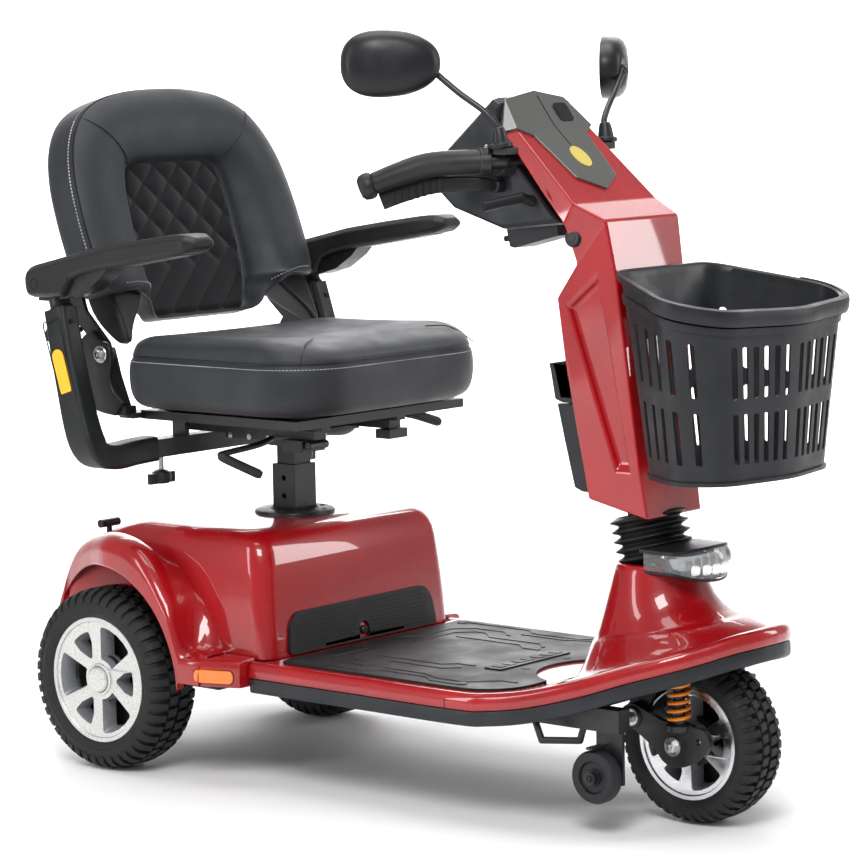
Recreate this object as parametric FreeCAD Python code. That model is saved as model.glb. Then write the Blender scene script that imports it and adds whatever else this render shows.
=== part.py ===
import FreeCAD, Part
import math
import os

# A three-wheeled mobility scooter. Millimetres, +Z up, the front faces -Y, the rider's right is -X.
# Every length along Y is first measured back from the front axle; export() then moves the whole
# object so that its bounding box is centred on the origin, with the tyres standing on Z = 0.

V = FreeCAD.Vector

# Overall
FRONT_Y = -146.0
REAR_Y = 1014.0
CENTRE_Y = (FRONT_Y + REAR_Y) / 2
RUN = 0.05            # radial clearance of a running fit
GAP = 0.4             # clearance between other moving neighbours

# Wheels
REAR_AXLE = (869.5, 130.0)     # Y, Z
REAR_R = 130.0
REAR_RIM_R = 90.0
REAR_X = 221.0                 # middle of a rear tyre
TYRE_W = 85.0
SHAFT_R = 8.0
FRONT_AXLE = (0.0, 109.0)
FRONT_R = 109.0
FRONT_RIM_R = 76.5
FRONT_W = 80.0
AXLE_R = 6.0
TIP_WHEEL = (155.0, 55.0, 79.0)    # small anti-tip wheel, X, Y, Z
TIP_R = 35.0
TIP_W = 22.0

# Deck
DECK_TOP = 177.0
STRIP_H = 21.0                 # height of the dark lower strip and of the red edge above it
STRIP_T = 11.0
EDGE = [(220, 606, 135), (220, 240, 135), (214, 190, 137), (203, 130, 147), (184, 60, 166),
        (158, 8, 184), (128, -40, 199), (98, -70, 209), (64, -98, 220), (30, -115, 225), (0, -119, 226)]
APRON_Y = 170.0                # where the sloping apron over the front wheel begins
APRON_Z = 180.0
APRON_SLOPE = -0.285           # rise of the apron per millimetre towards +Y
SKIN = 4.0                     # thickness of a painted shell

# Steering and front suspension
RAKE = 13.7                    # degrees, lean of the steering axis
PIVOT = (77.0, 370.0)          # tiller tilt axis, Y and Z, on the steering axis
STEM_R = 14.0
ARM_PIVOT = (64.0, 141.0)
ARM_X = 56.0
ARM_T = 9.0
SPRING_X = 61.0
SPRING_Y = -8.0
SPRING_R = 13.5
SPRING_WIRE = 2.6
SPRING_Z = (142.0, 206.0)

# Rear body
BODY_FRONT = 590.0
BODY_X = 200.0
BODY_TOP = 353.0
BODY_BASE = 178.0
FENDER_X = 262.0
ARCH_R = 163.0
WELL_X = 171.0
SILL_Z = (143.0, 182.0)

# Seat
POST_Y = 717.0
POST_W = 44.0
INNER_W = 34.0
CUSHION = (215.0, 500.0, 850.0, 511.0, 618.0)     # half-width, Y front, Y rear, Z bottom, Z top
BACK_HINGE = (887.0, 591.0)
RECLINE = 12.4
BACK_W = 219.0
BACK_BOTTOM = 46.0             # heights along the reclined back, from its hinge
BACK_TOP = 378.0
BACK_FRONT = -8.0
BACK_REAR = 46.0
TUBE = (837.0, 455.0)          # receiver tube of the armrests, Y and Z
ARM_REST_X = 262.0
ELBOW = (844.0, 434.0)
POST_TOP = (915.0, 660.0)
REST_PIVOT = (943.0, 693.0)
REST_TIP = (620.0, 757.0)

# Tiller head and basket
HEAD_X = 76.0
BASKET_FLOOR = 463.0
HANDLE_PIVOT = (-6.0, 700.0)   # Y and Z
BASKET_T = 3.0


def box(x, y, z):
    """Box between the pairs x, y and z."""
    return Part.makeBox(x[1] - x[0], y[1] - y[0], z[1] - z[0], V(x[0], y[0], z[0]))


def rod(start, end, radius):
    """Round bar from one point to another."""
    a, b = V(*start), V(*end)
    return Part.makeCylinder(radius, a.distanceToPoint(b), a, b - a)


def bent_rod(points, radius):
    """Round bar along a chain of points, with a ball at each bend."""
    shape = rod(points[0], points[1], radius)
    for k in range(1, len(points) - 1):
        shape = shape.fuse(Part.makeSphere(radius, V(*points[k])))
        shape = shape.fuse(rod(points[k], points[k + 1], radius))
    return shape.removeSplitter()


def loft_bar(sections):
    """Bar through rectangular sections, each given by its four corners."""
    wires = [Part.makePolygon([V(*p) for p in s] + [V(*s[0])]) for s in sections]
    return Part.makeLoft(wires, True, True)


def prism_x(outline, x0, x1):
    """Outline of (Y, Z) points extruded from x0 to x1."""
    wire = Part.makePolygon([V(x0, y, z) for y, z in outline] + [V(x0, *outline[0])])
    return Part.Face(wire).extrude(V(x1 - x0, 0, 0))


def mirrored(shape):
    """The same shape on the other side."""
    return shape.mirror(V(0, 0, 0), V(1, 0, 0))


def both(shape):
    """A shape and its mirror image, as a group."""
    return Part.makeCompound([shape, mirrored(shape)])


def fuse(*shapes):
    first = shapes[0]
    for other in shapes[1:]:
        first = first.fuse(other)
    return first.removeSplitter()


def soften(shape, radius, keep=lambda edge: True):
    """Round the edges that keep() picks, or leave the shape as it is if they can't be rounded."""
    edges = [e for e in shape.Edges if keep(e)]
    try:
        done = shape.makeFillet(radius, edges)
    except Part.OCCError:
        return shape
    return done if done.isValid() else shape


def axis_point(z):
    """Point of the steering axis at height z."""
    return V(0, PIVOT[0] - (PIVOT[1] - z) * math.tan(math.radians(RAKE)), z)


def turned(shape, point, axis, angle):
    shape = shape.copy()
    shape.rotate(V(*point), V(*axis), angle)
    return shape


PARTS = {}


def export():
    os.makedirs("parts", exist_ok=True)
    for name, shape in PARTS.items():
        moved = shape.copy()
        moved.translate(V(0, -CENTRE_Y, 0))
        moved.exportStep("parts/" + name + ".step")


# ---------------------------------------------------------------- wheels

def tyre(x, centre, outer, inner, width):
    """Tyre with rounded shoulders, revolved about the line through centre along X."""
    half = width / 2
    wall = outer - inner
    y, z = centre
    points = [(-half + 6, inner), (half - 6, inner), (half, inner + wall * 0.45),
              (half - 9, outer - 8), (half - 24, outer), (-half + 24, outer),
              (-half + 9, outer - 8), (-half, inner + wall * 0.45)]
    wire = Part.makePolygon([V(x + a, y, z + r) for a, r in points] + [V(x + points[0][0], y, z + points[0][1])])
    return Part.Face(wire).revolve(V(x, y, z), V(1, 0, 0), 360)


def rim(x, side, centre, radius, width, hub_r, bore):
    """Cast rim: barrel, hub, and a six-spoke face near the outer side of the tyre."""
    y, z = centre
    half = width / 2 - 7
    start = V(x - half, y, z)
    along = V(1, 0, 0)
    barrel = Part.makeCylinder(radius - GAP, 2 * half, start, along).cut(
        Part.makeCylinder(radius - 9, 2 * half, start, along))
    hub = Part.makeCylinder(hub_r, 2 * half - 6, V(x - half + 3, y, z), along)
    face_x = x + side * (half - 16)
    face = Part.makeCylinder(radius - 8, 12, V(face_x - 6, y, z), along)
    for k in range(6):
        large = k % 2 == 0
        spread = 21 if large else 11
        outer = radius - 13 if large else radius - 24
        corners = []
        for angle, r in ((-spread, outer), (spread, outer), (spread * 0.55, hub_r + 9), (-spread * 0.55, hub_r + 9)):
            turn = math.radians(60 * k + angle)
            corners.append((y + r * math.sin(turn), z + r * math.cos(turn)))
        face = face.cut(prism_x(corners, face_x - 10, face_x + 10))
    shape = fuse(barrel, hub, face)
    return shape.cut(Part.makeCylinder(bore, 400, V(-200 + x, y, z), along))


def wheels():
    for word, side in (("right", -1), ("left", 1)):
        x = side * REAR_X
        PARTS["rear_tyre_" + word] = tyre(x, REAR_AXLE, REAR_R, REAR_RIM_R, TYRE_W)
        PARTS["rear_rim_" + word] = rim(x, side, REAR_AXLE, REAR_RIM_R, TYRE_W, 27, SHAFT_R + RUN)
        small = Part.makeCylinder(TIP_R, TIP_W, V(side * TIP_WHEEL[0] - TIP_W / 2, TIP_WHEEL[1], TIP_WHEEL[2]), V(1, 0, 0))
        small = soften(small, 3)
        PARTS["antitip_wheel_" + word] = small.cut(
            rod((side * 200, TIP_WHEEL[1], TIP_WHEEL[2]), (side * 100, TIP_WHEEL[1], TIP_WHEEL[2]), 4 + RUN))
    PARTS["front_tyre"] = tyre(0, FRONT_AXLE, FRONT_R, FRONT_RIM_R, FRONT_W)
    PARTS["front_rim"] = rim(0, -1, FRONT_AXLE, FRONT_RIM_R, FRONT_W, 24, AXLE_R + RUN)


# ---------------------------------------------------------------- deck and nose

def edge_band(low, high, thickness):
    """Band that follows the deck's edge, from low to high above the strip's lower line."""
    stations = [(-x, y, z) for x, y, z in EDGE] + [(x, y, z) for x, y, z in reversed(EDGE[:-1])]
    sections = []
    for k, (x, y, z) in enumerate(stations):
        before = stations[max(k - 1, 0)]
        after = stations[min(k + 1, len(stations) - 1)]
        along = V(after[0] - before[0], after[1] - before[1], 0).normalize()
        inward = V(-along.y, along.x, 0)
        if (V(0, 240, 0) - V(x, y, 0)).dot(inward) < 0:
            inward = inward * -1
        point = V(x, y, z)
        inner = point + inward * thickness
        up = V(0, 0, 1)
        sections.append([point + up * low, inner + up * low, inner + up * high, point + up * high])
    wires = [Part.makePolygon(s + [s[0]]) for s in sections]
    return Part.makeLoft(wires, True, True)


def apron_z(y):
    return APRON_Z + (y - APRON_Y) * APRON_SLOPE


def egg(front, rear, wide_at, half, height, slope=0.0, inset=0.0, count=20):
    """Closed smooth outline, widest at wide_at, in a plane that slopes along Y."""
    points = []
    for k in range(count):
        turn = 2 * math.pi * k / count
        reach = (rear - wide_at) if math.cos(turn) > 0 else (wide_at - front)
        y = wide_at + (reach - inset) * math.cos(turn)
        points.append(V((half - inset) * math.sin(turn), y, height + (y - wide_at) * slope))
    curve = Part.BSplineCurve()
    curve.interpolate(points, PeriodicFlag=True)
    return Part.Wire(curve.toShape())


SKIRT = (-92.0, 172.0, 40.0, 124.0)


def shroud_form(inset):
    """Cone over the steering head, from its wide sloping foot to the bellows."""
    front, rear, wide, half = SKIRT
    drop = 14 if inset else 0
    sections = [egg(front, rear, wide, half, apron_z(wide) + 1 - drop, APRON_SLOPE, inset),
                egg(-58, 158, 48, 92, 246, -0.22, inset),
                egg(-6, 138, 60, 70, 284, -0.08, inset),
                egg(8, 122, 64, 60, 338 + (2 if inset else 0), 0.0, inset)]
    return Part.makeLoft(sections, True, False)


def deck():
    PARTS["deck_pan"] = edge_band(0, STRIP_H - 0.3, STRIP_T)
    edge = edge_band(STRIP_H, 2 * STRIP_H, STRIP_T)
    floor = prism_x([(150, DECK_TOP - 3), (588, DECK_TOP - 3), (588, DECK_TOP), (150, DECK_TOP)], -212, 212)
    inner = [(-x * 0.965, y + 4, z) for x, y, z in EDGE[2:]]
    inner += [(-x, y, z) for x, y, z in reversed(inner[:-1])]
    outline = [V(x, min(y, APRON_Y + 4), apron_z(min(y, APRON_Y + 4))) for x, y, z in inner]
    face = Part.Face(Part.makePolygon(outline + [outline[0]]))
    apron = face.extrude(V(0, 0, -3))
    front, rear, wide, half = SKIRT
    hole = Part.Face(egg(front, rear, wide, half, apron_z(wide) - 20, APRON_SLOPE, 14)).extrude(V(0, 0, 60))
    keep = box((-300, 300), (-200, 150), (100, 300))
    floor = floor.cut(keep)
    cover = fuse(edge, apron, floor).cut(hole)
    PARTS["deck_cover"] = cover
    cone = shroud_form(0).cut(shroud_form(SKIN))
    bottom = box((-250, 250), (-300, 300), (0, 100))
    bottom = turned(bottom, (0, 0, 100), (1, 0, 0), math.degrees(math.atan(APRON_SLOPE)))
    bottom.translate(V(0, 0, apron_z(0) - 100 + 0.2))
    PARTS["front_shroud"] = cone.cut(bottom)


def floor_mat():
    """Ribbed mat between the cone's foot and the rear body."""
    y0, y1, half, corner = 182.0, 572.0, 196.0, 70.0
    plate = box((-half, half), (y0, y1), (DECK_TOP, DECK_TOP + 3))
    plate = soften(plate, corner, lambda e: abs(e.Vertexes[0].Z - e.Vertexes[-1].Z) > 2 and e.BoundBox.YMax < y0 + 1)
    foot = Part.makeCylinder(96, 10, V(0, 152, DECK_TOP - 2))
    plate = plate.cut(foot)
    bar = box((-46, 46), (262, 286), (DECK_TOP + 3, DECK_TOP + 4.2))
    ribs = [box((x - 2, x + 2), (330, 545), (DECK_TOP + 3, DECK_TOP + 4)) for x in (-150, -110, 110, 150)]
    buttons = [Part.makeCylinder(7, 4.5, V(x, y, DECK_TOP + 1)) for x in (-180, 180) for y in (262, 556)]
    PARTS["floor_mat"] = fuse(plate, bar, *ribs, *buttons)


# ---------------------------------------------------------------- frame and what it carries

def frame():
    """Welded steel: rails, cross members, steering head, seat socket, brackets and tie-down loops."""
    rails = [box(x, (20, 800), (138, 168)) for x in ((-154, -130), (130, 154))]
    cross = [box((-131, 131), y, (142, 164)) for y in ((128, 180), (560, 585), (776, 800))]
    tray = box((-150, 150), (586, 800), (168, 172))
    top = axis_point(330)
    low = axis_point(264)
    head = rod(low, top, 23)
    stays = []
    for side in (-1, 1):
        stays.append(rod((side * 40, 140, 160), (side * 17, 78, 292), 10))
    socket = box((-29, 29), (POST_Y - 29, POST_Y + 29), (150, 215))
    hanger = [box((s * 80 - 10, s * 80 + 10), (798, 822), (118, 172)) for s in (-1, 1)]
    shape = fuse(*rails, *cross, tray, head, *stays, socket, *hanger)
    for side in (-1, 1):
        x, y, z = side * TIP_WHEEL[0], TIP_WHEEL[1], TIP_WHEEL[2]
        plate = box((min(side * 136, side * 141), max(side * 136, side * 141)), (24, 66), (68, 139))
        pin = rod((side * 136, y, z), (side * 172, y, z), 4)
        washer = rod((side * 168, y, z), (side * 172, y, z), 9)
        shape = fuse(shape, plate, pin, washer)
        loop = bent_rod([(side * 150, 140, 146), (side * 184, 132, 148), (side * 186, 120, 124),
                         (side * 152, 84, 122), (side * 146, 78, 152)], 4.5)
        shape = fuse(shape, loop)
    shape = shape.cut(rod(axis_point(255), axis_point(340), STEM_R + RUN))
    shape = shape.cut(box((-POST_W / 2 - 0.1, POST_W / 2 + 0.1), (POST_Y - POST_W / 2 - 0.1, POST_Y + POST_W / 2 + 0.1),
                          (160, 220)))
    PARTS["frame"] = shape


def power():
    """Batteries, controller and the transaxle with its motor."""
    PARTS["batteries"] = both(box((8, 172), (618, 684), (174, 326)))
    PARTS["controller"] = box((-75, 75), (752, 796), (174, 226))
    y, z = REAR_AXLE
    case = soften(box((-58, 58), (823, 930), (84, 184)), 14)
    tubes = rod((-166, y, z), (166, y, z), 21)
    shafts = rod((-254, y, z), (254, y, z), SHAFT_R)
    motor = rod((0, 926, 140), (0, 1000, 140), 41)
    foot = box((-70, 70), (823, 840), (120, 150))
    PARTS["transaxle"] = fuse(case, tubes, shafts, motor, foot)


def rear_body_form(t):
    """Outer form of the rear body with every wall moved in by t."""
    z0 = BODY_BASE - (10 if t else 0)
    z1 = BODY_TOP - t
    front = BODY_FRONT + t

    def corners(half, y0, y1, cut, height):
        plan = [(-half + cut, y0), (half - cut, y0), (half, y0 + cut), (half, y1 - cut),
                (half - cut, y1), (-half + cut, y1), (-half, y1 - cut), (-half, y0 + cut)]
        return [V(x, y, height) for x, y in plan]
    rings = [corners(BODY_X - t, front, REAR_Y - t, 26, z0), corners(195 - t, front + 10, 980 - t, 26, 296 - t),
             corners(190 - t, front + 16, 906 - t, 24, z1 - 14), corners(178 - t, front + 30, 850 - t, 24, z1)]
    body = Part.makeLoft([Part.makePolygon(r + [r[0]]) for r in rings], True, True)
    outline = [(612 + t, z0), (672 + t, 186), (700 + t, 200), (716 + t, 246), (755, 295 - t), (790, 323 - t),
               (830, 335 - t), (880, 335 - t), (930, 321 - t), (965 - t, 300 - t), (990 - t, 252), (REAR_Y - 6 - t, 214),
               (REAR_Y - 6 - t, z0)]
    fenders = prism_x(outline, -FENDER_X + t, FENDER_X - t)
    for side in (-1, 1):
        plan = [(FENDER_X - t, 790), (246 - t, 865), (208 - t, 950), (190 - t, REAR_Y + 1), (300, REAR_Y + 1), (300, 790)]
        edge = Part.makePolygon([V(side * x, y, 90) for x, y in plan] + [V(side * plan[0][0], plan[0][1], 90)])
        fenders = fenders.cut(Part.Face(edge).extrude(V(0, 0, 300)))
    y, z = REAR_AXLE
    form = body.fuse(fenders)
    for side in (-1, 1):
        start = side * (WELL_X - t)
        well = Part.makeCylinder(ARCH_R + t, 150, V(start, y, z), V(side, 0, 0))
        form = form.cut(well)
    return form


SILL_PLAN = [(196, 608), (238, 608), (262, 678), (262, 706), (196, 706)]


def sill(side):
    """Low forward end of a fender, which carries the reflector and meets the deck's edge."""
    base = [V(side * x, y, SILL_Z[0]) for x, y in SILL_PLAN]
    return Part.Face(Part.makePolygon(base + [base[0]])).extrude(V(0, 0, SILL_Z[1] - SILL_Z[0]))


def rear_body():
    shell = rear_body_form(0).cut(rear_body_form(SKIN))
    for side in (-1, 1):
        shell = shell.fuse(sill(side))
        y, z = REAR_AXLE
        shell = shell.cut(Part.makeCylinder(ARCH_R, 150, V(side * WELL_X, y, z), V(side, 0, 0)))
    shell = shell.cut(Part.makeCylinder(33, 40, V(0, POST_Y, BODY_TOP - 20)))
    shell = shell.cut(Part.makeCylinder(5, 60, V(-150, 947, 290)))
    PARTS["rear_shroud"] = shell.removeSplitter()
    lean = math.degrees(math.atan2(10, 296 - BODY_BASE))
    panel = box((-155, 155), (BODY_FRONT - 4.3, BODY_FRONT - 0.3), (179.5, 234))
    panel = soften(panel, 14, lambda e: e.BoundBox.YLength > 3 and e.BoundBox.ZMin > 230)
    screw = rod((0, BODY_FRONT - 6.5, 190), (0, BODY_FRONT - 4, 190), 6)
    PARTS["kick_panel"] = turned(fuse(panel, screw), (0, BODY_FRONT, BODY_BASE), (1, 0, 0), -lean)
    lens = soften(box((0.2, 2.7), (-30, 30), (149, 167)), 6, lambda e: e.BoundBox.XLength > 2)
    (x0, y0), (x1, y1) = SILL_PLAN[1], SILL_PLAN[2]
    lens = turned(lens, (0, 0, 0), (0, 0, 1), -math.degrees(math.atan2(x1 - x0, y1 - y0)))
    lens.translate(V((x0 + x1) / 2, (y0 + y1) / 2, 0))
    PARTS["side_reflectors"] = both(lens)


# ---------------------------------------------------------------- steering

def steering():
    crown = box((-56, 56), (-22, 62), (243, 254))
    stem = rod(axis_point(248), axis_point(352), STEM_R)
    yoke = box((-15, 15), (PIVOT[0] - 17, PIVOT[0] + 13), (348, 384))
    pin = rod((-30, *PIVOT), (30, *PIVOT), AXLE_R)
    shape = fuse(crown, stem, yoke, pin)
    for side in (-1, 1):
        inner, outer = side * 46, side * 53
        leg = prism_x([(18, 246), (62, 246), (79, 150), (76, 132), (62, 126), (50, 136)], min(inner, outer), max(inner, outer))
        bolt = rod((side * 46, *ARM_PIVOT), (side * 70, *ARM_PIVOT), AXLE_R)
        cup = rod((side * SPRING_X, SPRING_Y, 209), (side * SPRING_X, SPRING_Y, 216), 17)
        post = box((min(side * 44.5, side * 56), max(side * 44.5, side * 56)), (-20, 6), (212, 250))
        shape = fuse(shape, leg, bolt, cup, post)
    PARTS["steering_fork"] = shape

    arms = []
    for side in (-1, 1):
        inner, outer = side * ARM_X, side * (ARM_X + ARM_T)
        plate = prism_x([(80, 136), (78, 150), (66, 157), (20, 140), (-12, 136), (-50, 134), (-54, 120),
                         (-40, 96), (-10, 84), (14, 88), (30, 108), (62, 126)], min(inner, outer), max(inner, outer))
        cup = rod((side * SPRING_X, SPRING_Y, 130), (side * SPRING_X, SPRING_Y, 139), 17)
        eye = rod((side * (ARM_X - 2), *ARM_PIVOT), (side * (ARM_X + ARM_T + 2), *ARM_PIVOT), 14)
        arm = fuse(plate, cup, eye).cut(rod((side * 40, *ARM_PIVOT), (side * 90, *ARM_PIVOT), AXLE_R + RUN))
        arms.append(arm)
    axle = rod((-72, *FRONT_AXLE), (72, *FRONT_AXLE), AXLE_R)
    PARTS["swing_arms"] = fuse(arms[0], arms[1], axle)

    coils = []
    for side in (-1, 1):
        low, high = SPRING_Z
        path = Part.makeHelix((high - low) / 6, high - low, SPRING_R)
        ring = Part.Wire(Part.makeCircle(SPRING_WIRE, V(SPRING_R, 0, 0), V(0, 1, 0)))
        coil = Part.Wire(path).makePipeShell([ring], True, True)
        coil.translate(V(side * SPRING_X, SPRING_Y, low))
        coils.append(coil)
    PARTS["suspension_springs"] = Part.makeCompound(coils)


def bellows():
    """Rubber boot with five folds, turned about the steering axis."""
    low, high, outer, inner, wall = 344.0, 391.0, 47.0, 40.0, 3.0
    folds = 5
    pitch = (high - low) / folds
    out = [(inner, low)]
    for k in range(folds):
        out.append((outer, low + pitch * (k + 0.5)))
        out.append((inner, low + pitch * (k + 1)))
    back = [(r - wall, z) for r, z in reversed(out)]
    wire = Part.makePolygon([V(r, 0, z) for r, z in out + back] + [V(out[0][0], 0, out[0][1])])
    solid = Part.Face(wire).revolve(V(0, 0, 0), V(0, 0, 1), 360)
    solid.translate(V(0, PIVOT[0], 0))
    PARTS["bellows"] = turned(solid, (0, *PIVOT), (1, 0, 0), -RAKE)


def headlight():
    """Wrap-around lamp on the front of the cone's top."""
    body = prism_x([(-12, 322), (-2, 320), (14, 326), (18, 352), (18, 368), (-6, 364)], -54, 54)
    body = soften(body, 9, lambda e: e.BoundBox.XLength < 1 and e.BoundBox.YMax < 4)
    ring = Part.makeCylinder(62, 60, V(0, 66, 300))
    PARTS["headlight"] = body.cut(ring)


# ---------------------------------------------------------------- tiller

def tiller_section(front, rear, front_half, side_half, rear_half, front_cut, rear_cut):
    """Eight-sided section between a front and a rear (Y, Z) point."""
    a, b = V(0, *front), V(0, *rear)
    along = b - a
    length = along.Length
    along.normalize()
    first = a + along * front_cut
    last = b - along * rear_cut
    side = V(1, 0, 0)
    if rear_cut >= length:
        raise ValueError("section too short")
    return [a - side * front_half, a + side * front_half, first + side * side_half, last + side * side_half,
            b + side * rear_half, b - side * rear_half, last - side * side_half, first - side * side_half]


STATIONS = [((44, 402), (130, 423), 44, 65, 50, 16, 10),
            ((58, 536), (150, 545), 46, 67, 50, 18, 12),
            ((68, 640), (167, 625), 48, 70, 52, 20, 14),
            ((76, 718), (172, 690), 50, 75, 54, 22, 16),
            ((88, 772), (142, 735), 56, 79, 60, 20, 14),
            ((118, 808), (152, 781), 62, 88, 84, 10, 10)]
HOOD = [(118, 808), (268, 951), (260, 886), (152, 781)]


def tiller_form(t):
    wires = []
    for k, (front, rear, wf, ws, wr, cf, cr) in enumerate(STATIONS):
        lift = V(0, 0, 0)
        if t and k == 0:
            lift = V(0, -2, -8)
        a, b = V(0, *front), V(0, *rear)
        along = (b - a).normalize()
        a2 = a + along * t + lift
        b2 = b - along * t + lift
        section = tiller_section((a2.y, a2.z), (b2.y, b2.z), wf - t, ws - t, wr - t, cf, cr)
        wires.append(Part.makePolygon(section + [section[0]]))
    return Part.makeLoft(wires, True, True)


def tiller():
    lower = tiller_form(0).cut(tiller_form(SKIN))
    hood = prism_x(HOOD, -90, 90)
    hood = soften(hood, 14, lambda e: e.BoundBox.XLength < 1 and e.BoundBox.ZLength > 90)
    inside = prism_x([(126, 800), (262, 930), (256, 890), (156, 788)], -84, 84)
    PARTS["tiller_shell"] = fuse(lower, hood.cut(inside)).cut(bent_rod(bar_path(), BAR_R + 0.2))

    base = V(0, *PIVOT)
    lug = box((-29, 29), (PIVOT[0] - 14, PIVOT[0] + 14), (PIVOT[1] - 14, PIVOT[1] + 36))
    slot = box((-16, 16), (PIVOT[0] - 30, PIVOT[0] + 30), (PIVOT[1] - 30, PIVOT[1] + 20))
    hole = rod((-60, *PIVOT), (60, *PIVOT), AXLE_R + RUN)
    lug = turned(lug.cut(slot), (0, *PIVOT), (1, 0, 0), -8).cut(hole)
    column = rod(base + V(0, 5, 30), (0, 122, 752), 17)
    PARTS["tiller_column"] = fuse(lug, column)

    outer = prism_x([(136.5, 429), (164, 429), (195, 541), (207, 594), (163, 594), (152, 541)], -50, 50)
    outer = soften(outer, 8, lambda e: e.BoundBox.XLength < 1 and e.BoundBox.YMin > 160)
    mouth = prism_x([(166, 500), (180, 500), (191, 541), (203, 610), (168, 610)], -45, 45)
    PARTS["rear_pocket"] = outer.cut(mouth)

    rise = math.degrees(math.atan2(951 - 808, 268 - 118))
    cover = box((-58, 58), (14, 200), (0.2, 3.2))
    cover = soften(cover, 24, lambda e: e.BoundBox.ZLength > 2)
    cover = turned(cover, (0, 0, 0), (1, 0, 0), rise)
    cover.translate(V(0, 118, 808))
    PARTS["display_cover"] = cover

    console = prism_x([(157, 781), (259, 773), (345, 800), (392, 840), (372, 866), (274, 948), (265.5, 886)], -80, 80)
    console = soften(console, 10, lambda e: e.BoundBox.XLength < 1 and e.BoundBox.YMin > 270)
    port = box((-52, -8), (262, 300), (744, 779))
    console = fuse(console, port)
    console = console.cut(bent_rod(bar_path(), BAR_R + 0.2))
    console = console.cut(prism_x([(150, 775), (200, 775), (200, 800), (160, 800)], -18, 18))
    well = on_panel(Part.makeCylinder(9.4, 8, V(0, 0, -3.2)), *HORN_AT)
    PARTS["console"] = console.cut(well)


HORN_AT = (-48, 84)
PANEL_ANGLE = math.degrees(math.atan2(948 - 866, 274 - 372))     # slope of the rider's panel


def on_panel(shape, x, along):
    """Put a shape made on the XY plane onto the rider's panel, along mm down from its top edge."""
    placed = turned(shape, (0, 0, 0), (1, 0, 0), PANEL_ANGLE + 180)
    down = V(0, 372 - 274, 866 - 948).normalize()
    placed.translate(V(x, 274, 948) + down * along)
    return placed


BAR = [(205, 390, 836), (152, 322, 860), (118, 262, 866), (96, 240, 866)]
BAR_R = 11.0


def bar_path():
    return BAR + [(-x, y, z) for x, y, z in reversed(BAR)]


def controls():
    PARTS["handlebar"] = bent_rod(bar_path(), BAR_R)
    grips = []
    for side in (-1, 1):
        path = [(side * x, y, z) for x, y, z in BAR]
        grip = bent_rod([path[0], path[1], path[2]], 15.5)
        grip = grip.fuse(Part.makeSphere(15.5, V(*path[0])))
        grips.append(grip.cut(PARTS["handlebar"]))
    PARTS["grips"] = Part.makeCompound(grips)
    for word, side in (("right", -1), ("left", 1)):
        paddle = loft_bar([[(side * 98, 250, 826), (side * 98, 268, 826), (side * 98, 268, 838), (side * 98, 250, 838)],
                           [(side * 150, 326, 812), (side * 142, 340, 812), (side * 142, 340, 826), (side * 150, 326, 826)],
                           [(side * 190, 384, 786), (side * 182, 398, 786), (side * 182, 398, 798), (side * 190, 384, 798)]])
        hub = rod((side * 80.5, 258, 832), (side * 98, 258, 832), 8)
        PARTS["throttle_" + word] = fuse(paddle, hub)

    dial = soften(Part.makeCylinder(15, 12, V(0, 0, 0.5)), 2)
    PARTS["speed_dial"] = on_panel(dial, 0, 78)
    bow = soften(box((-2, 2), (-10, 10), (8, 24)), 1.5)
    stalk = Part.makeCylinder(4, 9, V(0, 0, 0.5))
    PARTS["ignition_key"] = on_panel(fuse(stalk, bow), 48, 84)
    button = soften(Part.makeCylinder(9, 7, V(0, 0, 0.5)), 1.5)
    PARTS["horn_button"] = on_panel(button, *HORN_AT)

    lever = bent_rod([(-81, 205, 812), (-96, 212, 818), (-142, 238, 808)], 7)
    PARTS["tilt_lever"] = lever.cut(box((-82.4, 0), (150, 300), (700, 900)))


MIRRORS = (("right", -1, -49.0, V(-150, 314, 984), V(-189, 354, 993)),
           ("left", 1, 33.4, V(197.5, 266.5, 976.5), V(219, 315, 984)))
BALL_R = 7.0          # ball at the end of a mirror's stem
STEM_BAR_R = 4.5


def mirrors():
    """Stems on the shoulders of the tiller; each head turns about the ball at its stem's end."""
    stems = []
    for word, side, heading, ball, glass in MIRRORS:
        bend = V(side * 118, 240, 914)
        boot = Part.makeCone(13, 8, 26, V(side * 112, 231, 884), V(side * 0.15, 0.1, 1))
        clamp = box((min(side * 92.5, side * 118), max(side * 92.5, side * 118)), (218, 246), (878, 890))
        stem = bent_rod([(side * 114, 232, 896), bend, ball], STEM_BAR_R)
        stems.append(fuse(boot, clamp, stem, Part.makeSphere(BALL_R, ball)))
        head = Part.Face(Part.Wire(Part.Ellipse(V(0, 0, 0), 66, 44).toShape())).extrude(V(0, 0, 30))
        head = turned(soften(head, 11), (0, 0, 0), (1, 0, 0), 90)
        head = turned(head, (0, 0, 0), (0, 0, 1), heading)
        head.translate(glass)
        inwards = (glass - ball).normalize()
        socket = rod(ball + inwards * 3, ball + inwards * 26, 9.5)
        room = Part.makeCone(BALL_R + RUN, 17, 36, ball, bend - ball)
        PARTS["mirror_head_" + word] = fuse(head, socket).cut(Part.makeSphere(BALL_R + RUN, ball)).cut(room)
    PARTS["mirror_stems"] = Part.makeCompound(stems)


# ---------------------------------------------------------------- basket

def basket_section(inset, z_back, z_front, y_back, y_front, half_back, half_front):
    """Eight-sided section; the back is narrow, the front wide with cut corners."""
    def at(y):
        return z_back + (z_front - z_back) * (y - y_back) / (y_front - y_back)
    yb = y_back - inset
    yf = y_front + inset
    hb = half_back - inset
    hf = half_front - inset
    plan = [(-hb, yb), (hb, yb), (hb + 8, yb - 14), (hf, yf + 52), (hf - 34, yf + 12), (hf - 60, yf),
            (-hf + 60, yf), (-hf + 34, yf + 12), (-hf, yf + 52), (-hb - 8, yb - 14)]
    return [V(x, y, at(y)) for x, y in plan]


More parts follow.
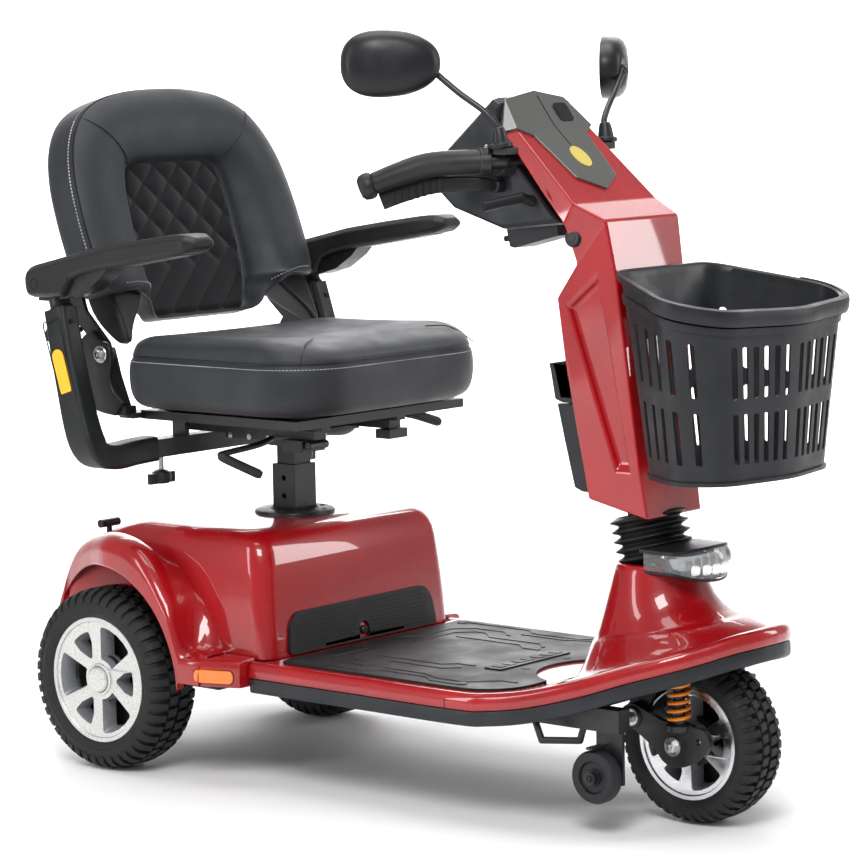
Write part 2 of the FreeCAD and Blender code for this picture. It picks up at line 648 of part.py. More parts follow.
def basket_form(inset, floor):
    low = basket_section(inset, floor, floor, 20, -122, 78, 118)
    high = basket_section(inset, 726, 680, 50, FRONT_Y + 5, 96, 168)
    return Part.makeLoft([Part.makePolygon(s + [s[0]]) for s in (low, high)], True, True)


def basket():
    shell = basket_form(0, BASKET_FLOOR)
    inner = basket_form(BASKET_T, BASKET_FLOOR + 4)
    cap = basket_section(BASKET_T, 726, 680, 50, FRONT_Y + 5, 96, 168)
    mouth = Part.Face(Part.makePolygon(cap + [cap[0]])).extrude(V(0, 0, 30))
    hook = box((-32, 32), (18, 66), (646, 676))
    hook = hook.cut(turned(box((-60, 60), (66, 140), (560, 760)), (0, 66, 646), (1, 0, 0), -6))
    shape = fuse(shell, hook).cut(inner).cut(mouth)
    PARTS["basket"] = shape.removeSplitter()
    grow = 5.0
    outer = basket_section(-grow, 724, 678, 50, FRONT_Y + 5, 96, 168)
    hole = basket_section(-0.8, 724, 678, 50, FRONT_Y + 5, 96, 168)
    faces = [Part.Face(Part.makePolygon(s + [s[0]])) for s in (outer, hole)]
    band = faces[0].extrude(V(0, 0, -20)).cut(faces[1].extrude(V(0, 0, -20)))
    handle = band.cut(box((-250, 250), (-6, 200), (600, 800)))
    around = basket_form(-2 * GAP, BASKET_FLOOR)
    around = around.fuse(around.translated(V(0, 0, 3 * GAP)))
    for angle in range(2, 100, 2):
        handle = handle.cut(turned(around, (0, *HANDLE_PIVOT), (1, 0, 0), angle))
    PARTS["basket_handle"] = handle


# ---------------------------------------------------------------- seat

def seat_base():
    half = POST_W / 2
    inner = INNER_W / 2
    tube = box((-half, half), (POST_Y - half, POST_Y + half), (161, 424))
    bore = box((-inner - RUN, inner + RUN), (POST_Y - inner - RUN, POST_Y + inner + RUN), (150, 430))
    holes = [rod((-60, POST_Y, z), (60, POST_Y, z), 4) for z in (378, 404)]
    tube = tube.cut(bore)
    for hole in holes:
        tube = tube.cut(hole)
    PARTS["seat_post_outer"] = tube
    post = box((-inner, inner), (POST_Y - inner, POST_Y + inner), (262, 458))
    spindle = Part.makeCylinder(11, 14, V(0, POST_Y, 458))
    flange = Part.makeCylinder(40, 5, V(0, POST_Y, 453))
    for hole in holes:
        post = post.cut(hole)
    PARTS["seat_post_inner"] = fuse(post, flange, spindle)
    disc = Part.makeCylinder(48, 10, V(0, POST_Y, 458.3))
    plate = box((-92, 92), (POST_Y - 46, POST_Y + 46), (468, 474))
    rails = [box((x - 12, x + 12), (592, 846), (474, 486)) for x in (-80, 80)]
    base = fuse(disc, plate, *rails)
    PARTS["swivel_base"] = base.cut(Part.makeCylinder(11 + RUN, 40, V(0, POST_Y, 440)))

    runners = [box((x - 9, x + 9), (580, 852), (486.4, 498)) for x in (-80, 80)]
    pan = box((-178, 178), (545, 846), (498, 510.5))
    y, z = TUBE
    receiver = box((-168, 168), (y - 13, y + 13), (z - 13, z + 13)).cut(box((-200, 200), (y - 9, y + 9), (z - 9, z + 9)))
    hangers = [box((min(s * 104, s * 112), max(s * 104, s * 112)), (y - 13, y + 13), (z + 12, 500)) for s in (-1, 1)]
    ears = []
    for s in (-1, 1):
        strip = prism_x([(846, 500), (868, 500), (885, 545), (899, 585), (899, 600), (878, 600), (866, 560), (846, 512)],
                        min(s * 194, s * 199), max(s * 194, s * 199))
        foot = box((min(s * 150, s * 199), max(s * 150, s * 199)), (840, 868), (500, 508))
        ears.append(fuse(strip, foot, rod((s * 194, *BACK_HINGE), (s * 212, *BACK_HINGE), 5)))
    holes = [rod((s * 150, y, 430), (s * 150, y, 446), 4.2) for s in (-1, 1)]
    shape = fuse(pan, *runners, receiver, *hangers, *ears)
    for hole in holes:
        shape = shape.cut(hole)
    PARTS["seat_frame"] = shape
    half_w, y0, y1, z0, z1 = CUSHION
    cushion = box((-half_w, half_w), (y0, y1), (z0, z1))
    cushion = soften(cushion, 62, lambda e: e.BoundBox.ZLength > 50)
    PARTS["seat_cushion"] = soften(cushion, 24, lambda e: e.BoundBox.ZLength < 1 and e.BoundBox.ZMin > z1 - 1)


def back_outline(inset=0.0):
    """Outline of the backrest: straight sides, arched top, drawn as X and height."""
    w = BACK_W - inset
    low = BACK_BOTTOM + inset
    top = BACK_TOP - inset
    points = [(-w + 40, low), (w - 40, low), (w, low + 62), (w - 2, 190), (w - 28, 292), (w - 78, 352), (w - 150, top - 4)]
    points += [(0, top)]
    points += [(-x, h) for x, h in reversed(points[2:-1])]
    return points


def seat_back():
    outline = [V(x, 0, h) for x, h in back_outline()]
    face = Part.Face(Part.makePolygon(outline + [outline[0]]))
    face.translate(V(0, BACK_FRONT, 0))
    slab = face.extrude(V(0, BACK_REAR - BACK_FRONT, 0))
    slab = soften(slab, 16, lambda e: e.BoundBox.YLength < 1)
    slab = turned(slab, (0, 0, 0), (1, 0, 0), -RECLINE)
    slab.translate(V(0, *BACK_HINGE))
    arms = []
    for s in (-1, 1):
        inner, outer = s * (199 + GAP), s * 206
        plate = prism_x([(-12, -10), (10, -10), (20, 20), (50, 60), (52, 120), (30, 120), (24, 66), (-10, 14)],
                        min(inner, outer), max(inner, outer))
        plate = plate.cut(rod((s * 180, 0, 0), (s * 230, 0, 0), 5 + RUN))
        plate = turned(plate, (0, 0, 0), (1, 0, 0), -RECLINE)
        plate.translate(V(0, *BACK_HINGE))
        arms.append(plate)
    PARTS["back_arms"] = Part.makeCompound(arms)
    for plate in arms:
        slab = slab.cut(plate)
    PARTS["seat_back"] = slab


def armrests():
    y, z = TUBE
    lean = V(0, POST_TOP[0] - ELBOW[0], POST_TOP[1] - ELBOW[1]).normalize()
    for word, s in (("right", -1), ("left", 1)):
        x = s * ARM_REST_X
        bar = box((min(s * 64, s * 222), max(s * 64, s * 222)), (y - 8.9, y + 8.9), (z - 8.9, z + 8.9))
        low = V(x, ELBOW[0], ELBOW[1])
        top = V(x, POST_TOP[0], POST_TOP[1])
        across = V(0, lean.z, -lean.y)
        wide = V(1, 0, 0)

        def ring(centre, a, b, first, second):
            return [centre - first * a - second * b, centre + first * a - second * b,
                    centre + first * a + second * b, centre - first * a + second * b]
        upright = loft_bar([ring(low, 13, 24, wide, across), ring(low + lean * 60, 13, 20, wide, across),
                            ring(top, 13, 19, wide, across)])
        side_in = V(s * 212, y, z)
        elbow = loft_bar([ring(side_in, 18, 18, V(0, 1, 0), V(0, 0, 1)),
                          ring(V(s * 240, y + 4, z - 4), 20, 20, V(0, 1, 0), V(0, 0, 1)),
                          ring(V(s * 270, y + 8, z - 8), 20, 18, V(0, 1, 0), V(0, 0, 1))])
        foot = Part.makeSphere(21, V(x, ELBOW[0] + 1, ELBOW[1] + 4))
        post = fuse(bar, upright, elbow, foot.common(box((min(s * 248, s * 276), max(s * 248, s * 276)), (800, 900), (400, 480))))
        bore = rod(top - lean * 130, top + lean * 20, 9 + RUN)
        PARTS["armrest_post_" + word] = post.cut(bore)
        pivot = V(x, *REST_PIVOT)
        tube = rod(top - lean * 120, top + lean * 12, 9)
        collar = rod(top + lean * 0.6, top + lean * 14, 15)
        lug = box((x - 7, x + 7), (REST_PIVOT[0] - 26, REST_PIVOT[0] + 10), (REST_PIVOT[1] - 24, REST_PIVOT[1] + 8))
        pin = rod((x - 22, *REST_PIVOT), (x + 22, *REST_PIVOT), 5)
        PARTS["armrest_riser_" + word] = fuse(tube, collar, lug, pin)
        PARTS["armrest_" + word] = armrest(x, pivot)
        knob = fuse(rod((s * 150, y, z - 52), (s * 150, y, z - 32), 16), rod((s * 150, y, z - 34), (s * 150, y, z - 9.5), 4))
        PARTS["width_knob_" + word] = knob


def armrest(x, pivot):
    """Steel channel with ears around the pivot pin, under a long pad."""
    tip_y, tip_z = REST_TIP
    slope = (tip_z - pivot.z - 18) / (pivot.y - tip_y)
    rear = pivot.y + 40

    def height(y):
        return pivot.z + 18 + slope * (pivot.y - y)
    channel = prism_x([(rear - 6, height(rear)), (rear - 20, height(rear) - 14), (pivot.y - 130, height(pivot.y - 130) - 12),
                       (tip_y + 60, height(tip_y + 60) - 4), (tip_y + 60, height(tip_y + 60))], x - 16, x + 16)
    channel = channel.cut(box((x - 8, x + 8), (pivot.y - 60, rear + 10), (600, height(pivot.y) - 8)))
    channel = channel.cut(box((x - 8.5, x + 8.5), (pivot.y - 40, pivot.y + 16), (640, pivot.z + 14)))
    ears = []
    for s in (-1, 1):
        ear = prism_x([(pivot.y - 16, pivot.z - 10), (pivot.y + 14, pivot.z - 10), (pivot.y + 20, pivot.z + 14),
                       (pivot.y - 30, pivot.z + 16)], x + (8.5 if s > 0 else -15), x + (15 if s > 0 else -8.5))
        ears.append(ear)
    pad = prism_x([(rear, height(rear) + 0.2), (rear, height(rear) + 15), (rear - 20, height(rear - 20) + 20),
                   (tip_y + 14, height(tip_y + 14) + 15), (tip_y, height(tip_y) + 6), (tip_y + 12, height(tip_y + 12))],
                  x - 30, x + 30)
    pad = soften(pad, 6, lambda e: e.BoundBox.XLength < 1)
    shape = fuse(channel, *ears, pad)
    return shape.cut(rod((x - 40, *REST_PIVOT), (x + 40, *REST_PIVOT), 5 + RUN))


def seat_levers():
    PARTS["swivel_lever"] = bent_rod([(-94, 672, 471), (-128, 668, 466), (-192, 676, 458), (-150, 640, 428)], 4.5)
    PARTS["slide_lever"] = bent_rod([(96, 640, 492), (150, 618, 486), (196, 606, 470)], 4.5)
    knob = rod((-150, 947, 318), (-150, 947, 334), 4)
    bar = rod((-168, 947, 337), (-132, 947, 337), 6)
    PARTS["freewheel_lever"] = fuse(knob, bar)


wheels()
deck()
floor_mat()
frame()
power()
rear_body()
steering()
bellows()
headlight()
tiller()
controls()
mirrors()
basket()
seat_base()
seat_back()
armrests()
seat_levers()
export()
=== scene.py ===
import math

import bmesh
import bpy
from mathutils import Matrix, Vector
from mathutils.geometry import tessellate_polygon

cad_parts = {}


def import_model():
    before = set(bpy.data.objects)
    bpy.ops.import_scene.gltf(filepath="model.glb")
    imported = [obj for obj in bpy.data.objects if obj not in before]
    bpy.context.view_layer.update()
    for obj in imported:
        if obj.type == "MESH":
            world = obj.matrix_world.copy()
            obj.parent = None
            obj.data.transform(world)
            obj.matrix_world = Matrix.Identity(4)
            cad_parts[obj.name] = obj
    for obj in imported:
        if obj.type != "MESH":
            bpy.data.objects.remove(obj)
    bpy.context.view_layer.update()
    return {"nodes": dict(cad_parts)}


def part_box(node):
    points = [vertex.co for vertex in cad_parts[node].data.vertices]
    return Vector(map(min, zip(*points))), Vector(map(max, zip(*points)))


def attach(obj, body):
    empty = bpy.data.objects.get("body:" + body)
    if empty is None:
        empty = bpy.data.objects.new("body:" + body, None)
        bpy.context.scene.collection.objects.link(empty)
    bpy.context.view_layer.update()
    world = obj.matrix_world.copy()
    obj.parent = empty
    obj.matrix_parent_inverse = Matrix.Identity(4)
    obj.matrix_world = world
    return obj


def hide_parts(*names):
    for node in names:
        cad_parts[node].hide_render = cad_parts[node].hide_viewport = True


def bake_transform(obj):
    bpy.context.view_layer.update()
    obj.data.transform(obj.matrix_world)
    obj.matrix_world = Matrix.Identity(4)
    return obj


# A three-wheeled mobility scooter. Metres, +Z up, the front faces -Y, the rider's right is -X.
# Lengths along Y are written as measured back from the front axle, and at() moves them to the frame.

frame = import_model()
NODES = frame["nodes"]

tyre_low, tyre_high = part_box("front_tyre")
AXLE_Y = (tyre_low.y + tyre_high.y) / 2
RIGHT, LEFT = -1, 1
SIDES = (("right", RIGHT), ("left", LEFT))


def at(x, y, z):
    """Point given with y measured back from the front axle."""
    return Vector((x, y + AXLE_Y, z))


# ------------------------------------------------------------------ materials

def material(name, base, rough, metal=0.0, coat=0.0, coat_rough=0.05, sheen=0.0, spec=0.5):
    """Principled material with the values that are the same all over set on its own sockets."""
    made = bpy.data.materials.new(name)
    made.use_nodes = True
    shader = made.node_tree.nodes["Principled BSDF"]
    shader.inputs["Base Color"].default_value = (*base, 1)
    shader.inputs["Roughness"].default_value = rough
    shader.inputs["Metallic"].default_value = metal
    shader.inputs["Coat Weight"].default_value = coat
    shader.inputs["Coat Roughness"].default_value = coat_rough
    shader.inputs["Sheen Weight"].default_value = sheen
    shader.inputs["Specular IOR Level"].default_value = spec
    return made


def texture(made, kind, scale, detail=2.0, stretch=(1, 1, 1)):
    """Procedural texture in object coordinates; gives back its node."""
    tree = made.node_tree
    place = tree.nodes.new("ShaderNodeTexCoord")
    mapping = tree.nodes.new("ShaderNodeMapping")
    mapping.inputs["Scale"].default_value = stretch
    tree.links.new(place.outputs["Object"], mapping.inputs["Vector"])
    node = tree.nodes.new(kind)
    node.inputs["Scale"].default_value = scale
    if "Detail" in node.inputs:
        node.inputs["Detail"].default_value = detail
    tree.links.new(mapping.outputs["Vector"], node.inputs["Vector"])
    return node


def bump(made, outputs, strength, distance):
    """Bump from one or two textures, the second one fine."""
    tree = made.node_tree
    shader = tree.nodes["Principled BSDF"]
    last = None
    for k, output in enumerate(outputs):
        node = tree.nodes.new("ShaderNodeBump")
        node.inputs["Strength"].default_value = strength if k == 0 else strength * 0.5
        node.inputs["Distance"].default_value = distance if k == 0 else distance * 0.4
        tree.links.new(output, node.inputs["Height"])
        if last:
            tree.links.new(last.outputs["Normal"], node.inputs["Normal"])
        last = node
    tree.links.new(last.outputs["Normal"], shader.inputs["Normal"])


def ramp(made, output, socket, low, high, start=0.35, end=0.65):
    """Drive a socket between two values or colours with a texture."""
    tree = made.node_tree
    node = tree.nodes.new("ShaderNodeValToRGB")
    node.color_ramp.elements[0].position = start
    node.color_ramp.elements[1].position = end
    node.color_ramp.elements[0].color = low if len(low) == 4 else (*low, 1)
    node.color_ramp.elements[1].color = high if len(high) == 4 else (*high, 1)
    tree.links.new(output, node.inputs["Fac"])
    tree.links.new(node.outputs["Color"], tree.nodes["Principled BSDF"].inputs[socket])


def grey(value):
    return (value, value, value)


def shade(base, factor):
    return tuple(c * factor for c in base)


def paint(name, base):
    """Gloss body paint: colour drifts a little, under a clear coat with a faint ripple."""
    made = material(name, base, 0.34, coat=1.0, coat_rough=0.02, spec=0.3)
    drift = texture(made, "ShaderNodeTexNoise", 9, 3)
    ramp(made, drift.outputs["Fac"], "Base Color", shade(base, 0.88), shade(base, 1.12))
    flake = texture(made, "ShaderNodeTexNoise", 900, 1)
    ramp(made, flake.outputs["Fac"], "Roughness", grey(0.26), grey(0.38))
    ripple = texture(made, "ShaderNodeTexNoise", 60, 2)
    bump(made, [ripple.outputs["Fac"]], 0.03, 0.0004)
    return made


def moulded(name, base, rough=0.45, grain=900, depth=0.00012, strength=0.35):
    """Moulded plastic with a spark-eroded grain and a slight unevenness of gloss."""
    made = material(name, base, rough, spec=0.32)
    cloud = texture(made, "ShaderNodeTexNoise", 14, 4)
    ramp(made, cloud.outputs["Fac"], "Base Color", shade(base, 0.85), shade(base, 1.18))
    gloss = texture(made, "ShaderNodeTexNoise", 35, 4)
    ramp(made, gloss.outputs["Fac"], "Roughness", grey(rough - 0.06), grey(rough + 0.08))
    fine = texture(made, "ShaderNodeTexVoronoi", grain)
    bump(made, [fine.outputs["Distance"]], strength, depth)
    return made


def leatherette(name, base, grain=520):
    """Fine-grained seat vinyl: cells, creases and a soft sheen."""
    made = material(name, base, 0.5, spec=0.40, sheen=0.05)
    made.node_tree.nodes["Principled BSDF"].inputs["Sheen Roughness"].default_value = 0.5
    cloud = texture(made, "ShaderNodeTexNoise", 7, 5)
    ramp(made, cloud.outputs["Fac"], "Base Color", shade(base, 0.8), shade(base, 1.2))
    wear = texture(made, "ShaderNodeTexNoise", 22, 5)
    ramp(made, wear.outputs["Fac"], "Roughness", grey(0.42), grey(0.56))
    cells = texture(made, "ShaderNodeTexVoronoi", grain)
    crease = texture(made, "ShaderNodeTexNoise", grain * 0.6, 6)
    bump(made, [cells.outputs["Distance"], crease.outputs["Fac"]], 0.45, 0.0005)
    return made


def woven(name, base):
    """Dark quilted insert: a tight knit that scatters light."""
    made = material(name, base, 0.8, spec=0.2, sheen=0.12)
    cloud = texture(made, "ShaderNodeTexNoise", 16, 5)
    ramp(made, cloud.outputs["Fac"], "Base Color", shade(base, 0.75), shade(base, 1.25))
    knit = texture(made, "ShaderNodeTexWave", 330, 1)
    other = texture(made, "ShaderNodeTexVoronoi", 1100)
    bump(made, [knit.outputs["Fac"], other.outputs["Distance"]], 0.4, 0.0003)
    return made


def rubber(name, base, rough=0.62, grain=260):
    made = material(name, base, rough, spec=0.35)
    dust = texture(made, "ShaderNodeTexNoise", 18, 6)
    ramp(made, dust.outputs["Fac"], "Base Color", shade(base, 0.75), shade(base, 1.35))
    ramp(made, dust.outputs["Fac"], "Roughness", grey(rough - 0.1), grey(rough + 0.08))
    fine = texture(made, "ShaderNodeTexNoise", grain, 5)
    bump(made, [fine.outputs["Fac"]], 0.3, 0.0004)
    return made


def metal(name, base, rough, grain=60, stretch=(1, 1, 1), coat=0.0):
    """Metal or metallic paint, with fine streaks in its gloss."""
    made = material(name, base, rough, metal=1.0, coat=coat)
    cloud = texture(made, "ShaderNodeTexNoise", grain, 5, stretch)
    ramp(made, cloud.outputs["Fac"], "Roughness", grey(max(rough - 0.07, 0.02)), grey(rough + 0.07))
    ramp(made, cloud.outputs["Fac"], "Base Color", shade(base, 0.92), shade(base, 1.06))
    fine = texture(made, "ShaderNodeTexNoise", grain * 14, 2, stretch)
    bump(made, [fine.outputs["Fac"]], 0.12, 0.0001)
    return made


def silver_paint(name, base, rough):
    """Silver wheel lacquer: half metallic with fine flakes."""
    made = material(name, base, rough, metal=0.55, coat=0.5, coat_rough=0.12)
    flake = texture(made, "ShaderNodeTexNoise", 700, 2)
    ramp(made, flake.outputs["Fac"], "Base Color", shade(base, 0.9), shade(base, 1.05))
    ramp(made, flake.outputs["Fac"], "Roughness", grey(rough - 0.06), grey(rough + 0.08))
    return made


def prismatic(name, base, lamp_glow_and_painted_glint):
    """Reflector: small cube-corner cells under a clear face, with a faint emission: a painted glint on the
    reflectors, the lamp's own glow on the tail lamp.
    """
    made = material(name, base, 0.25, coat=1.0, coat_rough=0.03)
    cells = texture(made, "ShaderNodeTexVoronoi", 420)
    ramp(made, cells.outputs["Distance"], "Base Color", shade(base, 0.62), shade(base, 1.15), 0.0, 0.6)
    bump(made, [cells.outputs["Distance"]], 0.5, 0.0005)
    shader = made.node_tree.nodes["Principled BSDF"]
    shader.inputs["Emission Color"].default_value = (*base, 1)
    shader.inputs["Emission Strength"].default_value = lamp_glow_and_painted_glint
    return made


def clear(name, base, rough=0.02):
    made = material(name, base, rough)
    shader = made.node_tree.nodes["Principled BSDF"]
    shader.inputs["Transmission Weight"].default_value = 0.92
    shader.inputs["IOR"].default_value = 1.45
    flutes = texture(made, "ShaderNodeTexWave", 120)
    bump(made, [flutes.outputs["Fac"]], 0.06, 0.0003)
    return made


RED = paint("red_gloss", (0.33, 0.002, 0.005))
TRIM = moulded("grey_moulding", (0.018, 0.020, 0.024), 0.40)
BLACK = moulded("black_moulding", (0.011, 0.011, 0.013), 0.38)
SOFT_BLACK = moulded("basket_plastic", (0.016, 0.017, 0.020), 0.38, 500)
PAD = moulded("armrest_skin", (0.012, 0.012, 0.013), 0.46, 420, 0.0003, 0.6)
TRIM_DARK = moulded("post_moulding", (0.011, 0.012, 0.013), 0.42, 600, 0.0002, 0.5)
# Near-black fill for shallow holes and pivot centres: painted shade inside the holes.
HOLE_SHADE = moulded("painted_hole_shade", (0.003, 0.003, 0.003), 0.7)
FRAME_BLACK = metal("powder_coat", (0.012, 0.012, 0.014), 0.36, 90)
FRAME_BLACK.node_tree.nodes["Principled BSDF"].inputs["Metallic"].default_value = 0.0
TYRE = rubber("tyre_rubber", (0.011, 0.011, 0.012), 0.62)
MAT = rubber("mat_rubber", (0.013, 0.013, 0.014), 0.55, 420)
BELLOWS = rubber("boot_rubber", (0.010, 0.010, 0.011), 0.42, 200)
GREY_RUBBER = rubber("grey_rubber", (0.013, 0.014, 0.016), 0.55)
GRIP = rubber("grip_rubber", (0.014, 0.015, 0.016), 0.5, 500)
LEATHER = leatherette("seat_vinyl", (0.015, 0.017, 0.022))
QUILT = woven("quilted_knit", (0.006, 0.0065, 0.008))
THREAD = rubber("thread", (0.42, 0.43, 0.45), 0.7)
WHEEL = silver_paint("wheel_silver", (0.62, 0.62, 0.60), 0.32)
# Darker copy of the wheel lacquer for the walls of the wheel pockets: painted shade in the recesses.
WHEEL_POCKET_SHADE = silver_paint("wheel_pocket_painted_shade", (0.30, 0.31, 0.33), 0.38)
WHEEL_BRIGHT = metal("wheel_bright", (0.72, 0.73, 0.75), 0.24, 40)
STEEL = metal("zinc_steel", (0.55, 0.55, 0.56), 0.3)
CAST = metal("cast_case", (0.14, 0.14, 0.15), 0.5, 120)
SPRING = paint("spring_orange", (0.80, 0.22, 0.004))
SCREEN = material("display_gloss", (0.075, 0.076, 0.072), 0.14, coat=1.0, coat_rough=0.02)
# The amber and yellow reflectors get a faint emission: a painted glint of reflected light, not a lamp.
AMBER = prismatic("amber_reflector", (0.80, 0.15, 0.003), 0.18)
YELLOW = prismatic("yellow_reflector", (0.90, 0.40, 0.004), 0.22)
RED_LAMP = prismatic("red_lamp", (0.5, 0.01, 0.01), 0.1)
BADGE = material("badge_gold", (0.62, 0.50, 0.12), 0.45, metal=0.3)
LENS = clear("lamp_lens", (0.95, 0.97, 1.0))
DARK_CHROME = metal("lamp_bowl", (0.30, 0.31, 0.32), 0.12, 30)
MIRROR = metal("mirror_silver", (0.9, 0.9, 0.92), 0.03, 20)
LAMP = material("lamp_white", (0.9, 0.9, 0.86), 0.4)
LAMP.node_tree.nodes["Principled BSDF"].inputs["Emission Color"].default_value = (1, 0.98, 0.93, 1)
LAMP.node_tree.nodes["Principled BSDF"].inputs["Emission Strength"].default_value = 0.6
for plain in (SCREEN, BADGE, LAMP):
    haze = texture(plain, "ShaderNodeTexNoise", 30, 4)
    low = plain.node_tree.nodes["Principled BSDF"].inputs["Roughness"].default_value
    ramp(plain, haze.outputs["Fac"], "Roughness", grey(low * 0.7), grey(low * 1.3))


# ------------------------------------------------------------------ shapes

def lerp(a, b, t):
    return a + (b - a) * t


def along_table(table, value):
    """Value read off a table of (place, value) pairs, straight between them."""
    for (p0, v0), (p1, v1) in zip(table, table[1:]):
        if value <= p1:
            return lerp(v0, v1, max(0.0, (value - p0) / (p1 - p0)))
    return table[-1][1]


def smooth_path(points, steps=6, closed=False):
    """Catmull-Rom curve through points."""
    pts = [Vector(p) for p in points]
    count = len(pts)
    path = []
    for k in range(count if closed else count - 1):
        p1, p2 = pts[k], pts[(k + 1) % count]
        p0 = pts[k - 1] if closed or k else p1
        p3 = pts[(k + 2) % count] if closed or k + 2 < count else p2
        for s in range(steps):
            t = s / steps
            path.append(0.5 * (2 * p1 + (p2 - p0) * t + (2 * p0 - 5 * p1 + 4 * p2 - p3) * t * t
                               + (3 * p1 - p0 - 3 * p2 + p3) * t ** 3))
    return path if closed else path + [pts[-1]]


def spaced(points, gap):
    """Points at even distances along a polyline, each with its direction."""
    found = []
    carry = 0.0
    for a, b in zip(points, points[1:]):
        length = (b - a).length
        if length < 1e-9:
            continue
        place = carry
        while place < length:
            found.append((a.lerp(b, place / length), (b - a) / length))
            place += gap
        carry = place - length
    return found


def rounded(half_x, half_y, radius, count=8):
    """Rounded rectangle round the origin as 2-D points."""
    points = []
    for cx, cy, start in ((1, 1, 0), (-1, 1, 90), (-1, -1, 180), (1, -1, 270)):
        for k in range(count + 1):
            turn = math.radians(start + 90 * k / count)
            points.append((cx * (half_x - radius) + radius * math.cos(turn),
                           cy * (half_y - radius) + radius * math.sin(turn)))
    return points


def arc(centre, radius, start, end, count):
    """2-D points on a circle, angles in degrees."""
    turns = [math.radians(lerp(start, end, k / count)) for k in range(count + 1)]
    return [(centre[0] + radius * math.cos(t), centre[1] + radius * math.sin(t)) for t in turns]


def smoothstep(t):
    t = min(max(t, 0.0), 1.0)
    return t * t * (3 - 2 * t)


def faded(mesh, degrees):
    mesh.shade_smooth()
    mesh.set_sharp_from_angle(angle=math.radians(degrees))


def span(side, near, far):
    """Range along X on one side of the middle, low end first."""
    return sorted((side * near, side * far))


